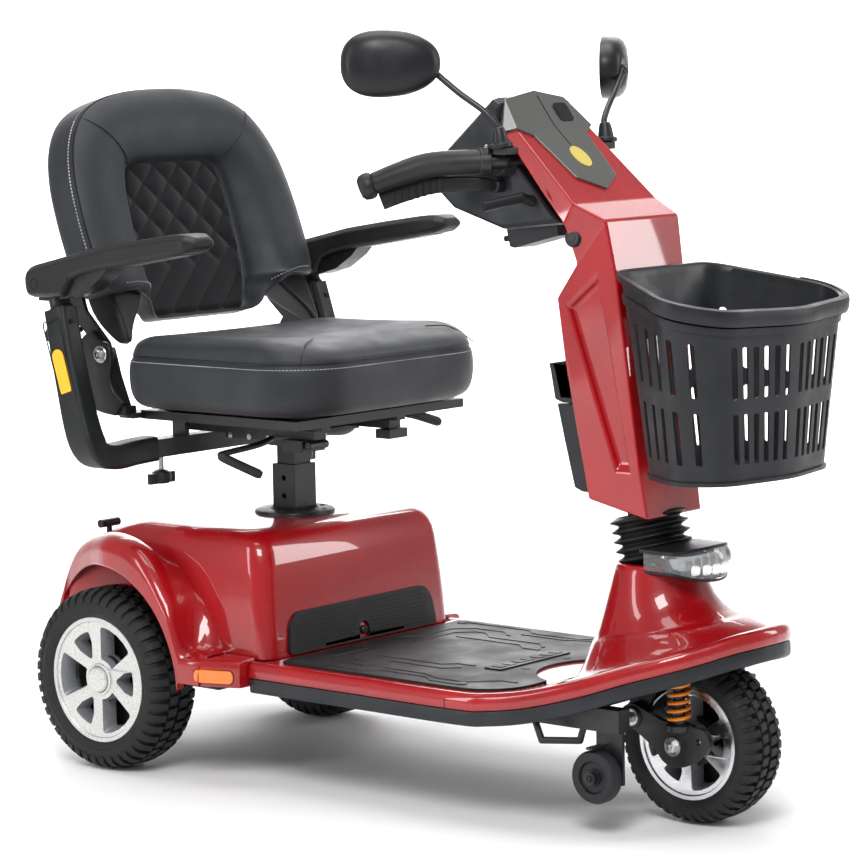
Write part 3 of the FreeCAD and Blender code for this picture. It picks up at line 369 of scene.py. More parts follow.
class Shape:
    """Mesh being built in axle coordinates; each part added carries a material number."""

    def __init__(self):
        self.bm = bmesh.new()

    def face(self, corners, mat=0):
        made = self.bm.faces.new(corners)
        made.material_index = mat
        return made

    def loft(self, rings, mat=0, loop=True, caps=(True, True), closed=False):
        """Skin over rows of points of equal count."""
        rows = [[self.bm.verts.new(p) for p in ring] for ring in rings]
        count = len(rows[0])
        pairs = list(zip(rows, rows[1:]))
        if closed:
            pairs.append((rows[-1], rows[0]))
        for a, b in pairs:
            for k in range(count if loop else count - 1):
                n = (k + 1) % count
                self.face((a[k], a[n], b[n], b[k]), mat)
        if loop and not closed:
            if caps[0]:
                self.face(rows[0][::-1], mat)
            if caps[1]:
                self.face(rows[-1], mat)
        return self

    def prism(self, outline, vector, mat=0):
        return self.loft([outline, [Vector(p) + Vector(vector) for p in outline]], mat)

    def prism_x(self, outline, x0, x1, mat=0):
        return self.prism([Vector((x0, y, z)) for y, z in outline], (x1 - x0, 0, 0), mat)

    def box(self, x, y, z, mat=0):
        ring = [(x[0], y[0]), (x[1], y[0]), (x[1], y[1]), (x[0], y[1])]
        return self.prism([Vector((a, b, z[0])) for a, b in ring], (0, 0, z[1] - z[0]), mat)

    def lathe(self, origin, axis, profile, mat=0, count=48, closed=False):
        """Profile of (distance along axis, radius) turned about the axis."""
        axis = Vector(axis).normalized()
        side = axis.orthogonal().normalized()
        other = axis.cross(side)
        rings = []
        for along, radius in profile:
            centre = Vector(origin) + axis * along
            turns = [2 * math.pi * k / count for k in range(count)]
            rings.append([centre + (side * math.cos(t) + other * math.sin(t)) * max(radius, 1e-5)
                          for t in turns])
        return self.loft(rings, mat, closed=closed)

    def rod(self, start, end, radius, mat=0, count=24, round_end=0.0):
        start, end = Vector(start), Vector(end)
        length = (end - start).length
        r = round_end
        profile = [(0, radius - r), (r, radius), (length - r, radius), (length, radius - r)]
        return self.lathe(start, end - start, profile if r else [profile[1], profile[2]], mat, count)

    def tube(self, points, radius, mat=0, count=14, section=None, up=None):
        """Bar along a path; radius may be one number, or a function of the share of the way along."""
        pts = [Vector(p) for p in points]
        rings = []
        side = None
        for k, p in enumerate(pts):
            ahead = (pts[min(k + 1, len(pts) - 1)] - pts[max(k - 1, 0)]).normalized()
            if up is not None:
                side = ahead.cross(Vector(up)).normalized()
            elif side is None:
                side = ahead.orthogonal().normalized()
            else:
                side = (side - ahead * side.dot(ahead)).normalized()
            other = side.cross(ahead)
            size = radius(k / (len(pts) - 1)) if callable(radius) else radius
            shape = section or [(math.cos(2 * math.pi * j / count), math.sin(2 * math.pi * j / count))
                                for j in range(count)]
            rings.append([p + side * (a * size) + other * (b * size) for a, b in shape])
        return self.loft(rings, mat)

    def ball(self, centre, radius, mat=0, count=20):
        turns = [math.pi * k / 10 for k in range(11)]
        return self.lathe(centre, (0, 0, 1), [(-radius * math.cos(t), radius * math.sin(t)) for t in turns],
                          mat, count)

    def plate(self, loops, place, thickness, mat=0, cuts_x=(), cuts_y=()):
        """Flat outline with holes, thickened, cut along lines so that it can bend, then put in place."""
        flat = bmesh.new()
        points = [[Vector((x, y, 0)) for x, y in loop] for loop in loops]
        corners = [flat.verts.new(p) for loop in points for p in loop]
        for triangle in tessellate_polygon(points):
            if len(set(triangle)) == 3:
                try:
                    flat.faces.new([corners[k] for k in triangle])
                except ValueError:
                    pass
        bmesh.ops.recalc_face_normals(flat, faces=flat.faces)
        for where, normal in [((c, 0, 0), (1, 0, 0)) for c in cuts_x] + [((0, c, 0), (0, 1, 0))
                                                                         for c in cuts_y]:
            bmesh.ops.bisect_plane(flat, geom=flat.verts[:] + flat.edges[:] + flat.faces[:],
                                   plane_co=where, plane_no=normal)
        lower = {v: self.bm.verts.new(place(Vector((v.co.x, v.co.y, 0)))) for v in flat.verts}
        upper = {v: self.bm.verts.new(place(Vector((v.co.x, v.co.y, thickness)))) for v in flat.verts}
        for f in flat.faces:
            self.face([lower[v] for v in reversed(f.verts)], mat)
            self.face([upper[v] for v in f.verts], mat)
        for e in flat.edges:
            if len(e.link_faces) == 1:
                a, b = e.verts
                self.face([lower[a], lower[b], upper[b], upper[a]], mat)
        flat.free()
        return self

    def stitches(self, path, gap=0.0065, length=0.004, width=0.0011, mat=0, lift=0.0004):
        """Short threads along a line of points."""
        for p, ahead in spaced([Vector(q) for q in path], gap):
            side = ahead.orthogonal().normalized() * width / 2
            other = ahead.cross(side).normalized() * (width / 2 + lift)
            reach = ahead * length / 2
            self.loft([[p - reach + side, p - reach + other, p - reach - side, p - reach - other],
                       [p + reach + side, p + reach + other, p + reach - side, p + reach - other]], mat)
        return self

    def mirror(self):
        """Add the mirror image of everything so far."""
        copy = bmesh.ops.duplicate(self.bm, geom=self.bm.verts[:] + self.bm.edges[:] + self.bm.faces[:])
        for twin in copy["geom"]:
            if isinstance(twin, bmesh.types.BMVert):
                twin.co.x = -twin.co.x
        return self

    def done(self, name, mats, body, slot=None, replaces=(), bevel=0.0, segments=2, limit=30, smooth=40,
             weld=0.0, subdivide=0):
        """Turn the mesh into an object in the frame, riding on its body."""
        if weld:
            bmesh.ops.remove_doubles(self.bm, verts=self.bm.verts, dist=weld)
        bmesh.ops.recalc_face_normals(self.bm, faces=self.bm.faces)
        bmesh.ops.translate(self.bm, verts=self.bm.verts, vec=(0, AXLE_Y, 0))
        mesh = bpy.data.meshes.new(name)
        self.bm.to_mesh(mesh)
        self.bm.free()
        for made in mats if isinstance(mats, (list, tuple)) else [mats]:
            mesh.materials.append(made)
        obj = bpy.data.objects.new(name, mesh)
        bpy.context.scene.collection.objects.link(obj)
        if subdivide:
            obj.modifiers.new("smooth", "SUBSURF").levels = subdivide
            obj.modifiers["smooth"].render_levels = subdivide
        faded(mesh, smooth)
        if bevel:
            edge = obj.modifiers.new("bevel", "BEVEL")
            edge.width = bevel
            edge.segments = segments
            edge.limit_method = "ANGLE"
            edge.angle_limit = math.radians(limit)
            edge.harden_normals = not subdivide
        if body:
            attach(obj, body)
        if replaces:
            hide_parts(*replaces)
        return obj


def keep(node, made, bevel=0.0008, smooth=35):
    """A CAD node shown as it is, with its own finish and softened edges."""
    obj = NODES[node]
    obj.data.materials.clear()
    obj.data.materials.append(made)
    faded(obj.data, smooth)
    if bevel:
        edge = obj.modifiers.new("bevel", "BEVEL")
        edge.width = bevel
        edge.segments = 2
        edge.limit_method = "ANGLE"
        edge.angle_limit = math.radians(40)
        edge.use_clamp_overlap = True
    return obj


def bolt(shape, place, axis, radius, mat=0, height=None):
    """Hex nut with a washer, standing on place and pointing along axis."""
    height = height or radius * 0.8
    shape.lathe(place, axis, [(0, radius * 1.5), (radius * 0.18, radius * 1.5)], mat, 24)
    shape.lathe(place, axis, [(radius * 0.15, radius), (height, radius), (height * 1.15, radius * 0.8)], mat,
                6)
    return shape.lathe(place, axis, [(height, radius * 0.5), (height * 1.6, radius * 0.5), (height * 1.7,
                                                                                            radius * 0.4)],
                       mat, 16)


# ------------------------------------------------------------------ wheels

REAR_AXLE = (0.8695, 0.130)
FRONT_AXLE = (0.0, 0.109)
REAR_TRACK = 0.221


def tyre(name, x, axle, outer, inner, width, body, node):
    """Air tyre with shoulder lugs and two staggered rows of middle blocks, parted by a central groove."""
    shape = Shape()
    half = width / 2
    origin = (x, *axle)
    wall = outer - inner
    base = outer - 0.0055
    bead = [(-half + 0.007, inner - 0.001), (-half + 0.002, inner + 0.004), (-half + 0.0005,
                                                                             inner + wall * 0.2),
            (-half + 0.0012, inner + wall * 0.24), (-half, inner + wall * 0.28), (-half + 0.0008,
                                                                                  inner + wall * 0.5),
            (-half + 0.004, inner + wall * 0.68), (-half + 0.010, inner + wall * 0.79), (-half + 0.020,
                                                                                         base - 0.001)]
    profile = bead + [(0, base)] + [(-a, r) for a, r in reversed(bead)]
    shape.lathe(origin, (1, 0, 0), profile, 0, 120, closed=True)
    lugs = 44
    shoulder = [(half - 0.022, base - 0.002), (half - 0.022, outer - 0.0002), (half - 0.010, outer - 0.0035),
                (half - 0.0015, outer - 0.0105), (half + 0.0002, outer - 0.019), (half - 0.004,
                                                                                  outer - 0.021)]
    middle = [(0.0025, base - 0.002), (0.0025, outer), (half - 0.025, outer), (half - 0.025, base - 0.002)]

    def block(section, side, turn, spread, skew):
        rings = []
        for end in (-1, 1):
            ring = []
            for a, r in section:
                angle = turn + end * spread * (1.08 if r < base else 0.96) + skew * a / half
                ring.append(Vector((x + side * a, axle[0] + r * math.sin(angle),
                                    axle[1] + r * math.cos(angle))))
            rings.append(ring)
        shape.loft(rings)

    step = 2 * math.pi / lugs
    for k in range(lugs):
        for side in (-1, 1):
            shift = 0.0 if side > 0 else 0.5
            block(shoulder, side, (k + shift) * step, step * 0.30, 0.0)
            block(middle, side, (k + shift + 0.5) * step, step * 0.36, side * step * 0.35)
    return shape.done(name, TYRE, body, "tyre_rubber", [node], 0.0007, 1, 40)


def rim(name, x, side, axle, radius, width, body, node, finish, slot_name, cap_r):
    """Cast wheel: barrel with lips, a dished face with three wide and three small pockets whose walls take a
    darker silver as painted shade, and a cap.
    """
    shape = Shape()
    half = width / 2 - 0.006
    origin = Vector((x, *axle))
    lip = [(-half, radius - 0.001), (-half, radius - 0.006), (-half + 0.004, radius - 0.0085),
           (0, radius - 0.012),
           (half - 0.004, radius - 0.0070), (half - 0.0005, radius - 0.0050), (half, radius - 0.0035),
           (half, radius - 0.001), (half - 0.003, radius + 0.001), (-half + 0.003, radius + 0.001)]
    shape.lathe(origin, (1, 0, 0), lip, 0, 96, closed=True)
    face_r = radius - 0.0065
    wide_out = face_r - 0.006
    pockets = []
    for k in range(3):
        mid = 120 * k
        pockets.append(pocket(mid, [(wide_out, 25), (cap_r + 0.010, 25)], 0.0060))
        pockets.append(pocket(mid + 60, [(wide_out - 0.008, 15), (lerp(cap_r, face_r, 0.52), 15.5),
                                         (cap_r + 0.014, 4)], 0.0045))

    def place(p):
        r = math.hypot(p.x, p.y)
        dish = smoothstep((r - cap_r) / (face_r - cap_r)) * 0.004
        return origin + Vector((side * (half - 0.0065 + dish + p.z), p.x, p.y))

    shape.plate([arc((0, 0), face_r, 0, 360, 95)[:-1]] + pockets, place, -0.0012, 0)
    # Pocket walls take the darker silver (material 3): painted shade.
    for k, loop in enumerate(pockets):
        middle = sum((Vector(p) for p in loop), Vector((0, 0))) / len(loop)
        rings = []
        for depth, shrink in ((-0.0004, 1.0), (-0.010, 0.84), (-0.022, 0.74)):
            points = [middle + (Vector(p) - middle) * shrink for p in loop]
            rings.append([place(Vector((p.x, p.y, depth))) for p in points])
        shape.loft(rings, 3, caps=(False, False))
    collar = [(half - 0.010, cap_r + 0.005), (half - 0.0035, cap_r + 0.0035), (half - 0.0030,
                                                                               cap_r + 0.0005),
              (half - 0.0055, cap_r)]
    cap = [(half - 0.008, cap_r - 0.0004), (half - 0.0005, cap_r - 0.0006), (half + 0.0015, cap_r - 0.0030),
           (half + 0.0021, cap_r * 0.45), (half + 0.0022, 0)]
    shape.lathe(origin, (side, 0, 0), collar, 0, 48, closed=True)
    shape.lathe(origin, (side, 0, 0), cap, 1, 48)
    shape.lathe(origin, (-side, 0, 0), [(-half + 0.016, 0.034), (half * 0.4, 0.030), (half * 0.8, 0.020)], 2,
                32)
    shape.lathe(origin, (side, 0, 0), [(-half + 0.004, radius - 0.012), (-half + 0.010, radius - 0.012)], 2,
                48)
    shape.lathe(origin, (side, 0, 0), [(half - 0.040, radius - 0.013), (half - 0.038, radius - 0.013)], 2,
                48)
    return shape.done(name, [finish, finish, BLACK, WHEEL_POCKET_SHADE], body, slot_name, [node], 0.0011, 3, 30)


def pocket(mid, rows, corner):
    """Window of a wheel as a 2-D loop, from rows of radius and half angle, with rounded corners."""
    points = []
    for r, spread in rows:
        points.append([(r, spread * s) for s in (-1, -0.5, 0, 0.5, 1)])
    start = points[0]
    loop = list(start)
    for row in points[1:-1]:
        loop.append(row[-1])
    loop += points[-1][::-1]
    for row in reversed(points[1:-1]):
        loop.append(row[0])
    flat = []
    for r, spread in loop:
        turn = math.radians(mid + spread)
        flat.append(Vector((r * math.cos(turn), r * math.sin(turn))))
    return [(p.x, p.y) for p in round_corners(flat, corner)]


def round_corners(loop, radius, sharp=25):
    """Cut the sharp corners of a 2-D loop into short arcs."""
    made = []
    for k, p in enumerate(loop):
        before, after = loop[k - 1] - p, loop[(k + 1) % len(loop)] - p
        turn = 180 - math.degrees(before.angle(after))
        if turn < sharp:
            made.append(p)
            continue
        reach = min(radius, before.length * 0.45, after.length * 0.45)
        a, b = p + before.normalized() * reach, p + after.normalized() * reach
        made += [(a * (1 - t) + p * t) * (1 - t) + (p * (1 - t) + b * t) * t for t in (0, 0.25, 0.5, 0.75,
                                                                                       1)]
    return made


for word, side in SIDES:
    tyre("rear_tyre_look_" + word, side * REAR_TRACK, REAR_AXLE, 0.130, 0.090, 0.085,
         "rear_wheel_" + word, "rear_tyre_" + word)
    rim("rear_rim_look_" + word, side * REAR_TRACK, side, REAR_AXLE, 0.0905, 0.085, "rear_wheel_" + word,
        "rear_rim_" + word, WHEEL, "wheel_silver", 0.019)
tyre("front_tyre_look", 0, FRONT_AXLE, 0.109, 0.0765, 0.080, "front_wheel", "front_tyre")
rim("front_rim_look", 0, -1, FRONT_AXLE, 0.077, 0.080, "front_wheel", "front_rim", WHEEL_BRIGHT,
    "wheel_bright", 0.015)


# ------------------------------------------------------------------ deck and nose

EDGE = [(0.220, 0.606, 0.135), (0.220, 0.42, 0.135), (0.220, 0.240, 0.135), (0.214, 0.190, 0.1375),
        (0.203, 0.130, 0.147), (0.184, 0.060, 0.166), (0.158, 0.008, 0.184), (0.128, -0.040, 0.199),
        (0.098, -0.070, 0.209), (0.064, -0.098, 0.220), (0.030, -0.115, 0.225), (0.0, -0.119, 0.226)]
FLOOR_Z = 0.177
APRON_Y, APRON_Z, APRON_SLOPE = 0.170, 0.180, -0.285


def apron_z(y):
    """Height of the painted apron and floor at y."""
    slope = APRON_Z + (y - APRON_Y) * APRON_SLOPE
    return lerp(slope, FLOOR_Z, smoothstep((y - 0.13) / 0.09))


def edge_stations():
    right = smooth_path([(-x, y, z) for x, y, z in EDGE], 5)
    return right + [Vector((-p.x, p.y, p.z)) for p in reversed(right[:-1])]


def edge_frames():
    """Each station of the deck's edge with its outward direction in plan."""
    stations = edge_stations()
    frames = []
    for k, p in enumerate(stations):
        ahead = stations[min(k + 1, len(stations) - 1)] - stations[max(k - 1, 0)]
        frames.append((p, Vector((ahead.y, -ahead.x, 0)).normalized()))
    return frames


def edge_bands():
    """Dark bumper strip below and rounded red edge above it, all round the deck."""
    frames = edge_frames()
    strip = [(-0.011, 0.0), (-0.003, 0.0), (-0.0012, 0.0016), (-0.0004, 0.005), (-0.0004, 0.016), (-0.0014,
                                                                                                   0.0196),
             (-0.004, 0.0205), (-0.011, 0.0205)]
    red = [(-0.013, 0.0208), (-0.001, 0.0208), (0.0006, 0.0222), (0.0010, 0.026), (0.0008, 0.034), (-0.0006,
                                                                                                    0.0384),
           (-0.0032, 0.0414), (-0.0070, 0.0430), (-0.0115, 0.0430), (-0.0140, 0.0418)]
    for name, section, made, slot_name, node in (("bumper_strip", strip, TRIM, "grey_trim", "deck_pan"),
                                                 ("deck_edge", red, RED, "red_paint", "deck_cover")):
        rings = [[p + out * o + Vector((0, 0, u)) for o, u in section] for p, out in frames]
        Shape().loft(rings).done(name, made, "chassis", slot_name, [node], smooth=50)


def deck_skin():
    """Floor and apron inside the edge: a ladder of rows from one side to the other."""
    stations = edge_stations()
    rows = []
    across = 40
    for p in stations[:(len(stations) + 1) // 2]:
        half = max(abs(p.x) - 0.0125, 0.001)
        z = p.z + 0.0415
        rows.append([Vector((lerp(-half, half, k / across), p.y + (0.012 if p.y < 0.1 else 0.0),
                             lerp(apron_z(p.y), z, abs(2 * k / across - 1) ** 6))) for k in range(across
                                                                                                  + 1)])
    shape = Shape().loft(rows, loop=False)
    rear = [Vector((v.x, 0.592, v.z)) for v in rows[0]]
    shape.loft([rear, rows[0]], loop=False)
    shape.done("deck_floor", RED, "chassis", "red_paint", smooth=60, weld=0.0003)
    under = Shape()
    under.loft([[Vector((x, y, z - 0.006)) for x, y, z in ((v.x * 0.985, v.y, v.z) for v in row)]
                for row in rows], loop=False)
    under.done("deck_underside", BLACK, "chassis", "black_plastic", smooth=60)
    seam = Shape()
    for side in (-1, 1):
        seam.box((side * 0.2195 - 0.0018, side * 0.2195 + 0.0018), (0.2535, 0.2550), (0.1562, 0.1700))
    seam.done("deck_edge_seam", BLACK, "chassis", "black_plastic")


def egg(front, rear, wide_at, half, z, slope=0.0, count=96, square=1.0):
    """Closed outline, widest at wide_at, on a plane that slopes along Y."""
    points = []
    for k in range(count):
        turn = 2 * math.pi * k / count
        c, s = math.cos(turn), math.sin(turn)
        reach = (rear - wide_at) if c > 0 else (wide_at - front)
        y = wide_at + reach * math.copysign(abs(c) ** square, c)
        points.append(Vector((half * math.copysign(abs(s) ** square, s), y, z + (y - wide_at) * slope)))
    return points


CONE = [(-0.104, 0.178, 0.040, 0.134, 0.2155, -0.285), (-0.096, 0.174, 0.040, 0.126, 0.2185, -0.285),
        (-0.090, 0.171, 0.040, 0.119, 0.2235, -0.28), (-0.083, 0.167, 0.042, 0.111, 0.2305, -0.27),
        (-0.073, 0.163, 0.044, 0.103, 0.2395, -0.25), (-0.061, 0.158, 0.047, 0.0945, 0.2490, -0.22),
        (-0.056, 0.156, 0.048, 0.0905, 0.2525, -0.21), (-0.051, 0.1535, 0.049, 0.0870, 0.2545, -0.20),
        (-0.047, 0.1515, 0.050, 0.0855, 0.2580, -0.185), (-0.036, 0.148, 0.053, 0.0805, 0.2660, -0.15),
        (-0.020, 0.1425, 0.057, 0.0745, 0.2790, -0.10), (-0.007, 0.137, 0.060, 0.0695, 0.2940, -0.06),
        (0.001, 0.131, 0.062, 0.0655, 0.3110, -0.03), (0.006, 0.125, 0.064, 0.0615, 0.3290, -0.01),
        (0.008, 0.122, 0.065, 0.0595, 0.3365, 0.0), (0.011, 0.119, 0.065, 0.0565, 0.3390, 0.0),
        (0.018, 0.112, 0.065, 0.050, 0.3392, 0.0), (0.018, 0.112, 0.065, 0.048, 0.3300, 0.0)]


def cone():
    rings = [egg(*row) for row in CONE]
    Shape().loft(rings, caps=(False, False)).done("front_cone", RED, "chassis", "red_paint",
                                                  ["front_shroud"], smooth=60)


def mat_outline(inset=0.0):
    """Outline of the floor mat: round front corners and a bay for the cone's foot."""
    half, y0, y1 = 0.196 - inset, 0.183 + inset, 0.572 - inset
    loop = [(half, y1), (-half, y1)]
    loop += arc((-half + 0.07, y0 + 0.07), 0.07, 180, 270, 10)
    bay = 0.098 + inset
    side = math.degrees(math.asin((y0 - 0.150) / bay))
    loop += arc((0, 0.150), bay, 180 - side, side, 24)
    loop += arc((half - 0.07, y0 + 0.07), 0.07, 270, 360, 10)
    return [(p.x, p.y) for p in round_corners([Vector(p) for p in loop], 0.016, 50)]


def floor_mat():
    top = FLOOR_Z + 0.0032
    shape = Shape()
    shape.plate([mat_outline()], lambda p: Vector((p.x, p.y, FLOOR_Z + p.z)), 0.0032)
    lines = []
    for s in (-1, 1):
        lines.append([(s * 0.040, 0.556), (s * 0.060, 0.534), (s * 0.128, 0.534), (s * 0.152, 0.508),
                      (s * 0.152, 0.452),
                      (s * 0.132, 0.430)])
        lines.append([(s * 0.182, 0.556), (s * 0.182, 0.430), (s * 0.166, 0.412), (s * 0.166, 0.330),
                      (s * 0.182, 0.310),
                      (s * 0.182, 0.262)])
        lines.append([(s * 0.020, 0.512), (s * 0.108, 0.512), (s * 0.130, 0.488), (s * 0.130, 0.468),
                      (s * 0.108, 0.444),
                      (s * 0.108, 0.352), (s * 0.090, 0.334)])
        lines.append([(s * 0.150, 0.420), (s * 0.150, 0.346), (s * 0.164, 0.312), (s * 0.164, 0.266),
                      (s * 0.130, 0.232),
                      (s * 0.128, 0.206)])
        lines.append([(s * 0.086, 0.488), (s * 0.086, 0.372), (s * 0.070, 0.354), (s * 0.070, 0.326)])
    for line in lines:
        pts = [Vector((x, y, top)) for x, y in line]
        rings = []
        for k, p in enumerate(pts):
            ahead = (pts[min(k + 1, len(pts) - 1)] - pts[max(k - 1, 0)]).normalized()
            out = Vector((ahead.y, -ahead.x, 0))
            rings.append([p + out * a + Vector((0, 0, h)) for a, h in ((-0.0034, -0.001), (-0.0022, 0.0011),
                                                                     (0.0022, 0.0011), (0.0034, -0.001))])
        shape.loft(rings)
    bar = [Vector((x, y + 0.290, top - 0.001)) for x, y in rounded(0.078, 0.0155, 0.005, 4)]
    shape.prism(bar, (0, 0, 0.0032))
    for k in range(7):
        x = (k - 3) * 0.0205
        shape.box((x - 0.0065, x + 0.0065), (0.282, 0.298), (top + 0.002, top + 0.0030))
    for x in (-0.176, 0.176):
        for y in (0.262, 0.552):
            shape.lathe((x, y, top - 0.001), (0, 0, 1), [(0, 0.0085), (0.0018, 0.0080), (0.0026, 0.0055),
                                                         (0.0027, 0.0)], 0, 24)
    for x in (-0.045, 0.045):
        for y in (0.258, 0.560):
            shape.lathe((x, y, top - 0.001), (0, 0, 1), [(0, 0.0065), (0.0016, 0.0060), (0.0022, 0.0)], 0,
                        20)
    shape.done("mat_look", MAT, "chassis", "soft_rubber", ["floor_mat"], 0.0006, 2, 30)


# ------------------------------------------------------------------ rear body

BODY_RINGS = [(0.178, 0.200, 0.590, 1.010, 0.026), (0.215, 0.1995, 0.5935, 1.006, 0.026),
              (0.255, 0.1975, 0.5970, 0.998, 0.026), (0.285, 0.1955, 0.6000, 0.987, 0.027),
              (0.305, 0.1940, 0.6020, 0.972, 0.028), (0.320, 0.1920, 0.6050, 0.946, 0.028),
              (0.3310, 0.1890, 0.6090, 0.921, 0.029), (0.3395, 0.1845, 0.6145, 0.898, 0.029),
              (0.3455, 0.1780, 0.6220, 0.879, 0.028), (0.3495, 0.1690, 0.6320, 0.863, 0.027),
              (0.3515, 0.1580, 0.6440, 0.851, 0.026), (0.3528, 0.1300, 0.6640, 0.835, 0.024),
              (0.3536, 0.0900, 0.6860, 0.805, 0.020), (0.3540, 0.0500, 0.7000, 0.760, 0.016)]
CREST = [(0.664, 0.1835), (0.680, 0.1840), (0.694, 0.187), (0.703, 0.198), (0.712, 0.222), (0.722, 0.250),
         (0.738, 0.273),
         (0.755, 0.2950), (0.775, 0.3140), (0.795, 0.3265), (0.825, 0.3355), (0.870, 0.3375),
         (0.910, 0.3300),
         (0.940, 0.3175), (0.960, 0.3030), (0.976, 0.2830), (0.988, 0.2590), (0.998, 0.2350),
         (1.006, 0.2150),
         (1.010, 0.190)]
JOIN = [(0.664, 0.183), (0.6723, 0.185), (0.6774, 0.195), (0.698, 0.233), (0.727, 0.265), (0.763, 0.2965),
        (0.800, 0.3125),
        (0.839, 0.3215), (0.886, 0.3225), (0.930, 0.3150), (0.960, 0.3000), (0.985, 0.2640), (1.010, 0.190)]
REACH = [(0.664, 0.2615), (0.720, 0.2620), (0.800, 0.2560), (0.865, 0.2450), (0.910, 0.2260),
         (0.950, 0.2110),
         (0.980, 0.2010), (1.010, 0.1930)]
ARCH_R = 0.163


def central_body():
    shape = Shape()
    rings = []
    for z, half, y0, y1, corner in BODY_RINGS:
        mid = (y0 + y1) / 2
        rings.append([Vector((x, y + mid, z)) for x, y in rounded(half, (y1 - y0) / 2, corner, 8)])
    shape.loft(rings, caps=(False, True))
    return shape


def fender_section(y, crest, side):
    """Fender skin across X at y: out from the body, over the shoulder and down to the lip."""
    join, reach = along_table(JOIN, y), along_table(REACH, y)
    chord = ARCH_R ** 2 - (y - REAR_AXLE[0]) ** 2
    lip = max(0.1790, REAR_AXLE[1] + math.sqrt(chord)) if chord > 0 else 0.1790
    if y < REAR_AXLE[0] - 0.9 * ARCH_R:
        lip = 0.1450 if chord <= 0 else REAR_AXLE[1] + math.sqrt(chord)
    roll = min(0.024, max(crest - lip, 0.001) * 0.55)
    shoulder = max(reach - roll - 0.006, 0.199)
    points = [(0.184, join - 0.006), (0.1975, join), (lerp(0.1975, shoulder, 0.25), lerp(join, crest, 0.20)),
              (lerp(0.1975, shoulder, 0.5), lerp(join, crest, 0.52)), (lerp(0.1975, shoulder, 0.75),
                                                                       lerp(join, crest, 0.84)),
              (shoulder, crest)]
    for a, b in arc((0, 0), 1.0, 90, 0, 8)[1:]:
        points.append((shoulder + a * (reach - 0.0008 - shoulder), crest - roll + b * roll))
    for k in range(1, 9):
        points.append((reach - 0.0008 + 0.0008 * k / 8, lerp(crest - roll, lip, k / 8)))
    points += [(reach - 0.0012, lip - 0.0008), (reach - 0.0040, lip - 0.0004), (reach - 0.014, lip + 0.0010)]
    return [Vector((side * x, y, z)) for x, z in points]


def fenders():
    stations = smooth_path([(0, y, z) for y, z in CREST], 5)
    shape = Shape()
    liner = Shape()
    for side in (-1, 1):
        rows = [fender_section(p.y, p.z, side) for p in stations]
        end = rows[-1]
        rows.append([Vector((v.x, 1.0115, min(v.z, 0.184))) for v in end])
        shape.loft(rows, loop=False)
        x0 = side * 0.171
        turns = arc(REAR_AXLE, ARCH_R - 0.0015, 16, 176, 40)
        rows = []
        for share in (0.0, 0.5, 1.0):
            rows.append([Vector((side * min(lerp(0.171, 0.258, share), along_table(REACH, y) - 0.004), y, z))
                         for y, z in turns])
        liner.loft(rows, loop=False)
        wall = [Vector((x0, y, z)) for y, z in turns]
        liner.prism(wall, (-side * 0.002, 0, 0))
    liner.done("wheel_wells", BLACK, "chassis", "black_plastic", smooth=40)
    return shape


SILL = [(0.6085, 0.2370), (0.6115, 0.2395), (0.625, 0.2440), (0.645, 0.2510), (0.665, 0.2580),
        (0.678, 0.2612),
        (0.690, 0.2620), (0.7045, 0.2622)]
REFLECTOR_Z = 0.1585
SEAT_POST_Y = 0.717


def sill_section(y, reach):
    outline = [(0.206, 0.1435), (reach - 0.004, 0.1435), (reach - 0.001, 0.1450), (reach, 0.1480),
               (reach, 0.1725),
               (reach - 0.0008, 0.1765), (reach - 0.004, 0.1795), (reach - 0.010, 0.1812), (0.206, 0.1825)]
    return [Vector((-x, y, z)) for x, z in outline]


def on_sill(side, along, z, lift):
    """Point on the tapering face of a sill: along it, at a height, lifted off it."""
    (y0, x0), (y1, x1) = SILL[1], SILL[5]
    way = Vector((x1 - x0, y1 - y0)).normalized()
    x, y = lerp(x0, x1, 0.5) + way.x * along + way.y * lift, lerp(y0, y1, 0.5) + way.y * along - way.x * lift
    return Vector((side * x, y, z))


